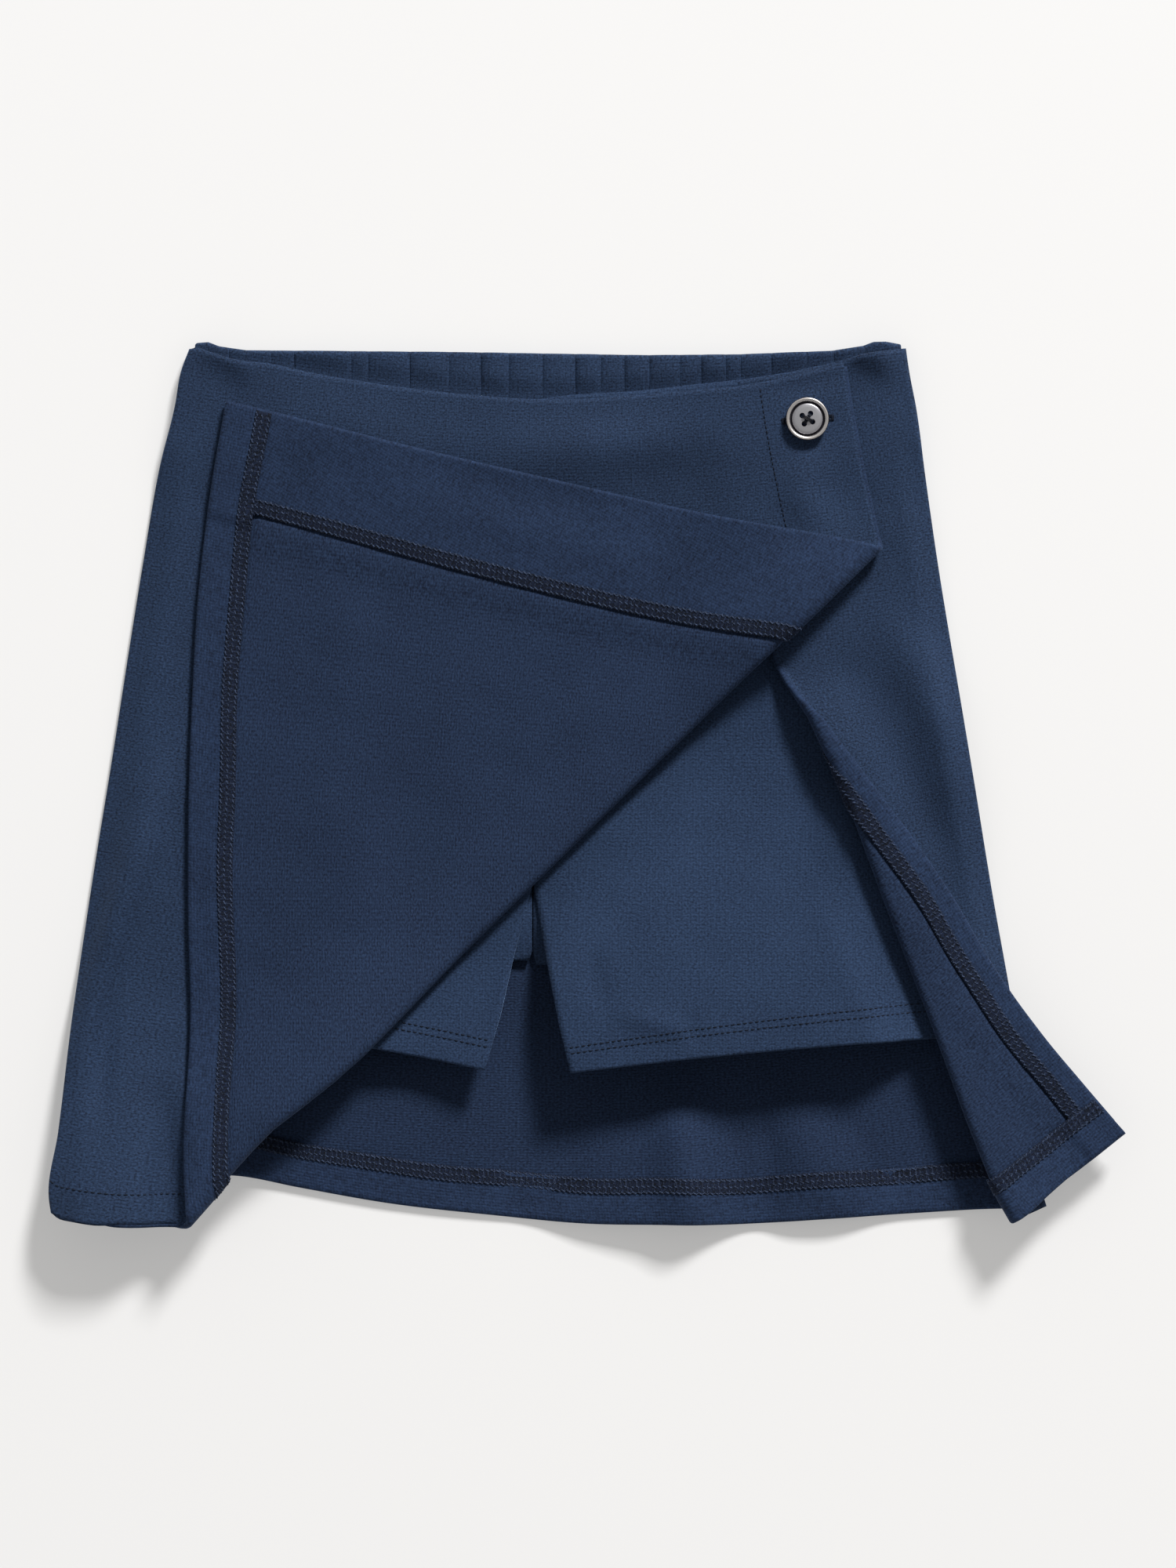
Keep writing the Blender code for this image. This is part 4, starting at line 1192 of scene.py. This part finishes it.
def leg_row(name, down, pitch):
    """A row across a leg, at a fraction down it."""
    across = np.linspace(0.01, 0.99, 120)
    path = front_leg_lay(leg_places[name](across, down * np.ones(120)), JERSEY_CLOTH / 2)
    return lockstitch(path, np.broadcast_to(UP, path.shape), pitch)


thread_piece("over_topstitch", [
    edge_row(over_facing, (1.5, 92.0), depth=34.3, pitch=2.0),
    edge_row(over_hem, (1.0, 58.0), depth=12.6, pitch=2.5),
], sewing_thread)
thread_piece("shorts_hem_stitching", [
    leg_row(name, down, pitch=2.3) for name in ("shorts_front_left", "shorts_front_right") for down in TWIN_ROWS
], sewing_thread)

# %% [markdown]
# ## The button
#
# A cast zinc four-hole button with an antique silver plating: a raised round rim worn bright, a dark groove and
# a slightly domed middle. It could be carved from a cylinder, but it's a turned form, so its profile is spun
# round its axis, and a ramp from its middle to its rim lays the wear on it, with a painted shade darkening its
# outer edge. The holes are drilled by Boolean.

# %% Button metal
BUTTON_CENTRE, BUTTON_RADIUS = (84.2, 138.8), 8.2
BUTTON_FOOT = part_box("button")[0][2] / MM + 0.5
# From the button's middle to its rim: worn bright, dark in the groove, bright on the rim, painted shade at the
# edge.
WEAR_AND_EDGE_SHADE = (
    (0.0, "#d3d2d6"), (0.6, "#cfced2"), (0.72, "#b4b2b8"), (0.755, "#2c2b33"), (0.825, "#33313a"),
    (0.85, "#dcd8d6"), (0.985, "#d8d2cd"), (1.02, "#5a555a"),
)
button_metal = new_material("antique_silver_plated_zinc", "#b9b3ae")
place = node(button_metal, "TexCoord", out="Object")
to_centre = (-BUTTON_CENTRE[0] * MM, -BUTTON_CENTRE[1] * MM, 0.0)
centred = node(button_metal, "Mapping", {"Vector": place, "Location": to_centre})
shrink = (1.0 / (BUTTON_RADIUS * MM), 1.0 / (BUTTON_RADIUS * MM), 0.0)
flat_place = node(button_metal, "VectorMath", {0: centred, 1: shrink}, operation="MULTIPLY")
radius = node(button_metal, "VectorMath", {0: flat_place}, "Value", operation="LENGTH")
grime = noise(button_metal, place, 900.0, 5.0, 0.7)
ring_position = node(button_metal, "Math", {0: grime, 1: 0.05, 2: radius}, operation="MULTIPLY_ADD")
plating_and_edge_shade = colour_ramp(button_metal, ring_position, [(position, linear(colour)) for position, colour in WEAR_AND_EDGE_SHADE])
finish_with(button_metal, {
    "Base Color": plating_and_edge_shade, "Metallic": 0.85, "Roughness": 0.34,
    "Normal": relief(button_metal, grime, 0.15, 0.0001),
})

# %% Button body, from (radius, height) points in millimetres
BUTTON_SECTION = (
    (0.0, 2.15), (2.6, 2.13), (4.3, 2.06), (5.4, 1.98), (5.75, 1.85), (5.95, 1.5), (6.1, 1.1), (6.5, 1.1),
    (6.65, 1.6), (6.85, 2.25), (7.2, 2.5), (7.5, 2.62), (7.8, 2.58), (8.05, 2.38), (8.18, 2.05), (8.2, 1.4),
    (8.1, 0.8), (7.8, 0.3), (7.3, 0.05), (6.6, 0.0), (0.0, 0.0),
)
bm = bmesh.new()
profile = [bm.verts.new((r * MM, 0.0, z * MM)) for r, z in BUTTON_SECTION]
edges = [bm.edges.new(pair) for pair in zip(profile, profile[1:])]
bmesh.ops.spin(
    bm, geom=profile + edges, cent=(0, 0, 0), axis=(0, 0, 1), dvec=(0, 0, 0), angle=math.tau, steps=72,
    use_merge=True, use_duplicate=False,
)
bmesh.ops.remove_doubles(bm, verts=bm.verts, dist=1e-6)
bmesh.ops.recalc_face_normals(bm, faces=bm.faces)
bmesh.ops.translate(bm, verts=bm.verts, vec=(BUTTON_CENTRE[0] * MM, BUTTON_CENTRE[1] * MM, BUTTON_FOOT * MM))
button = add_piece("button_body", finished(bm, "button_body"), [button_metal], ["button"])
print("button foot in mm:", round(BUTTON_FOOT, 2))

# %% Button holes
HOLE_TURN, HOLE_CIRCLE, HOLE_RADIUS = 14.0, 2.3, 1.05
hole_angles = np.radians(HOLE_TURN + 45.0 + 90.0 * np.arange(4))
hole_spots = np.array(BUTTON_CENTRE) + HOLE_CIRCLE * np.column_stack([np.cos(hole_angles), np.sin(hole_angles)])
bm = bmesh.new()
for x, y in hole_spots:
    made = bmesh.ops.create_cone(
        bm, cap_ends=True, segments=20, radius1=HOLE_RADIUS * MM, radius2=HOLE_RADIUS * MM, depth=0.01
    )
    bmesh.ops.translate(bm, verts=made["verts"], vec=(x * MM, y * MM, BUTTON_FOOT * MM))
drills = bpy.data.objects.new("hole_drills", finished(bm, "hole_drills"))
bpy.context.scene.collection.objects.link(drills)
button.modifiers.new("holes", "BOOLEAN").object = drills
bpy.context.view_layer.update()
drilled = bpy.data.meshes.new_from_object(button.evaluated_get(bpy.context.evaluated_depsgraph_get()))
button.modifiers.clear()
button.data = drilled
bpy.data.objects.remove(drills)
drilled.shade_smooth()
drilled.set_sharp_from_angle(angle=math.radians(40))
print("button faces:", len(drilled.polygons))

# %% [markdown]
# ## The button's thread and its hole
#
# A cross of black thread holds the button, three turns each way, and it goes down through the holes. The
# buttonhole shows at both sides of the button: two rows of close zigzag run along the slit under it, with a
# bar across each end. Both are threads like the others, on paths worked out from the button and the panel.

# %% Thread in the holes
CROSS_RADIUS, CROSS_SPACING, CROSS_POINTS = 0.27, 0.42, 14
CROSS_HEIGHT, CROSS_DIP = 2.35, 1.6
strands = []
for first, second, lift in ((0, 2, 0.0), (1, 3, 0.35)):
    start, end = hole_spots[first], hole_spots[second]
    across = np.array([-(end - start)[1], (end - start)[0]]) / np.linalg.norm(end - start)
    share = np.linspace(0.0, 1.0, CROSS_POINTS)
    into_holes = CROSS_DIP * (ease(1 - share / 0.12) + ease(1 - (1 - share) / 0.12))
    arch = BUTTON_FOOT + CROSS_HEIGHT + lift + 0.35 * np.sin(math.pi * share) ** 0.7 - into_holes
    for side in (-CROSS_SPACING, 0.0, CROSS_SPACING):
        flat = start + (end - start) * share[:, None] + across * side
        strands.append((np.column_stack([flat, arch]), UP, CROSS_RADIUS))
thread_piece("button_thread_cross", strands, button_thread)

# %% Buttonhole
HOLE_ENDS = np.array([[75.0, 138.0], [94.0, 139.4]])
ZIGZAG_PITCH, ZIGZAG_RADIUS, BAR_RADIUS = 0.45, 0.17, 0.2
ZIGZAG_MIDDLE, ZIGZAG_REACH = 0.75, 0.55
hole_length = np.linalg.norm(HOLE_ENDS[1] - HOLE_ENDS[0])
along = (HOLE_ENDS[1] - HOLE_ENDS[0]) / hole_length
sideways = np.array([-along[1], along[0]])


def above_panel(flat, height):
    """Points above the over panel's right side."""
    return over_lie(flat, np.full(len(flat), CLOTH / 2)) + np.outer(height * np.ones(len(flat)), UP)


count = round(hole_length / ZIGZAG_PITCH)
turn = np.linspace(0.0, count, count * 6 + 1)
bar = np.linspace(0.0, 8.0, 65)
strands = []
for side in (-1.0, 1.0):
    place = HOLE_ENDS[0] + along * (turn / count * hole_length)[:, None]
    flat = place + sideways * (side * (ZIGZAG_MIDDLE + ZIGZAG_REACH * np.cos(math.tau * turn)))[:, None]
    strands.append((above_panel(flat, 0.12 + 0.14 * np.sin(math.tau * turn)), UP, ZIGZAG_RADIUS))
for end in HOLE_ENDS:
    flat = end + sideways * np.cos(math.pi * bar)[:, None] + along * (0.1 * (bar - 4.0))[:, None]
    strands.append((above_panel(flat, 0.3), UP, BAR_RADIUS))
thread_piece("buttonhole_stitches", strands, sewing_thread)

# %% [markdown]

# %% [markdown]
# ## The table, the light and the camera
#
# The photograph was taken straight down on a pale table, with one large soft light beyond the top right corner.
# The table's paint glows a little by itself, a painted glow that keeps the shadows on it pale while those
# inside the garment are nearly black. More lamps would fill those in, so there is one lamp, and a sky that is
# brighter at the walls than overhead.

# %% Table
TABLE_SIZE, TABLE_GLOW = 3.0, 0.31
table_paint = new_material("table_paint_with_painted_glow", "#f4f3f1")
# The emission is a painted glow that lifts the table's shadows; the table is no lamp.
finish_with(table_paint, {
    "Base Color": linear("#d3d2d1"), "Roughness": 0.9, "Specular IOR Level": 0.1,
    "Emission Color": linear("#f7f6f4"), "Emission Strength": TABLE_GLOW,
})
bm = bmesh.new()
bmesh.ops.create_grid(bm, x_segments=1, y_segments=1, size=TABLE_SIZE)
table = bpy.data.objects.new("table", finished(bm, "table"))
table.data.materials.append(table_paint)
bpy.context.scene.collection.objects.link(table)

# %% Light
WALLS, ZENITH = 0.54, 0.41
LAMP_PLACE, LAMP_SIZE, LAMP_POWER = (3.4, 7.55, 5.3), 1.9, 1180.0
scene = bpy.context.scene
world = bpy.data.worlds.new("studio")
world.use_nodes = True
height = node(world, "SeparateXYZ", {"Vector": node(world, "TexCoord", out="Generated")}, "Z")
sky = colour_ramp(world, height, ((0.0, (1.0, 1.0, 1.0, 1.0)), (0.9, (ZENITH, ZENITH, ZENITH, 1.0))))
background = world.node_tree.nodes["Background"]
world.node_tree.links.new(sky, background.inputs["Color"])
background.inputs["Strength"].default_value = WALLS
scene.world = world
scene.view_settings.view_transform = "Standard"
lamp_data = bpy.data.lights.new("window_light", "AREA")
lamp_data.size, lamp_data.energy = LAMP_SIZE, LAMP_POWER
lamp = bpy.data.objects.new("window_light", lamp_data)
lamp.location = LAMP_PLACE
lamp.rotation_euler = (-lamp.location).to_track_quat("-Z", "Y").to_euler()
scene.collection.objects.link(lamp)
print("lamp distance in m:", round(lamp.location.length, 2))

# %% Camera
camera_data = bpy.data.cameras.new("camera")
camera_data.sensor_width, camera_data.lens = 36.0, 144.0
camera = bpy.data.objects.new("camera", camera_data)
camera.location = (0.00075, -0.00015, 2.4)
scene.collection.objects.link(camera)
scene.camera = camera
print("camera height in m:", round(camera.location.z, 2))
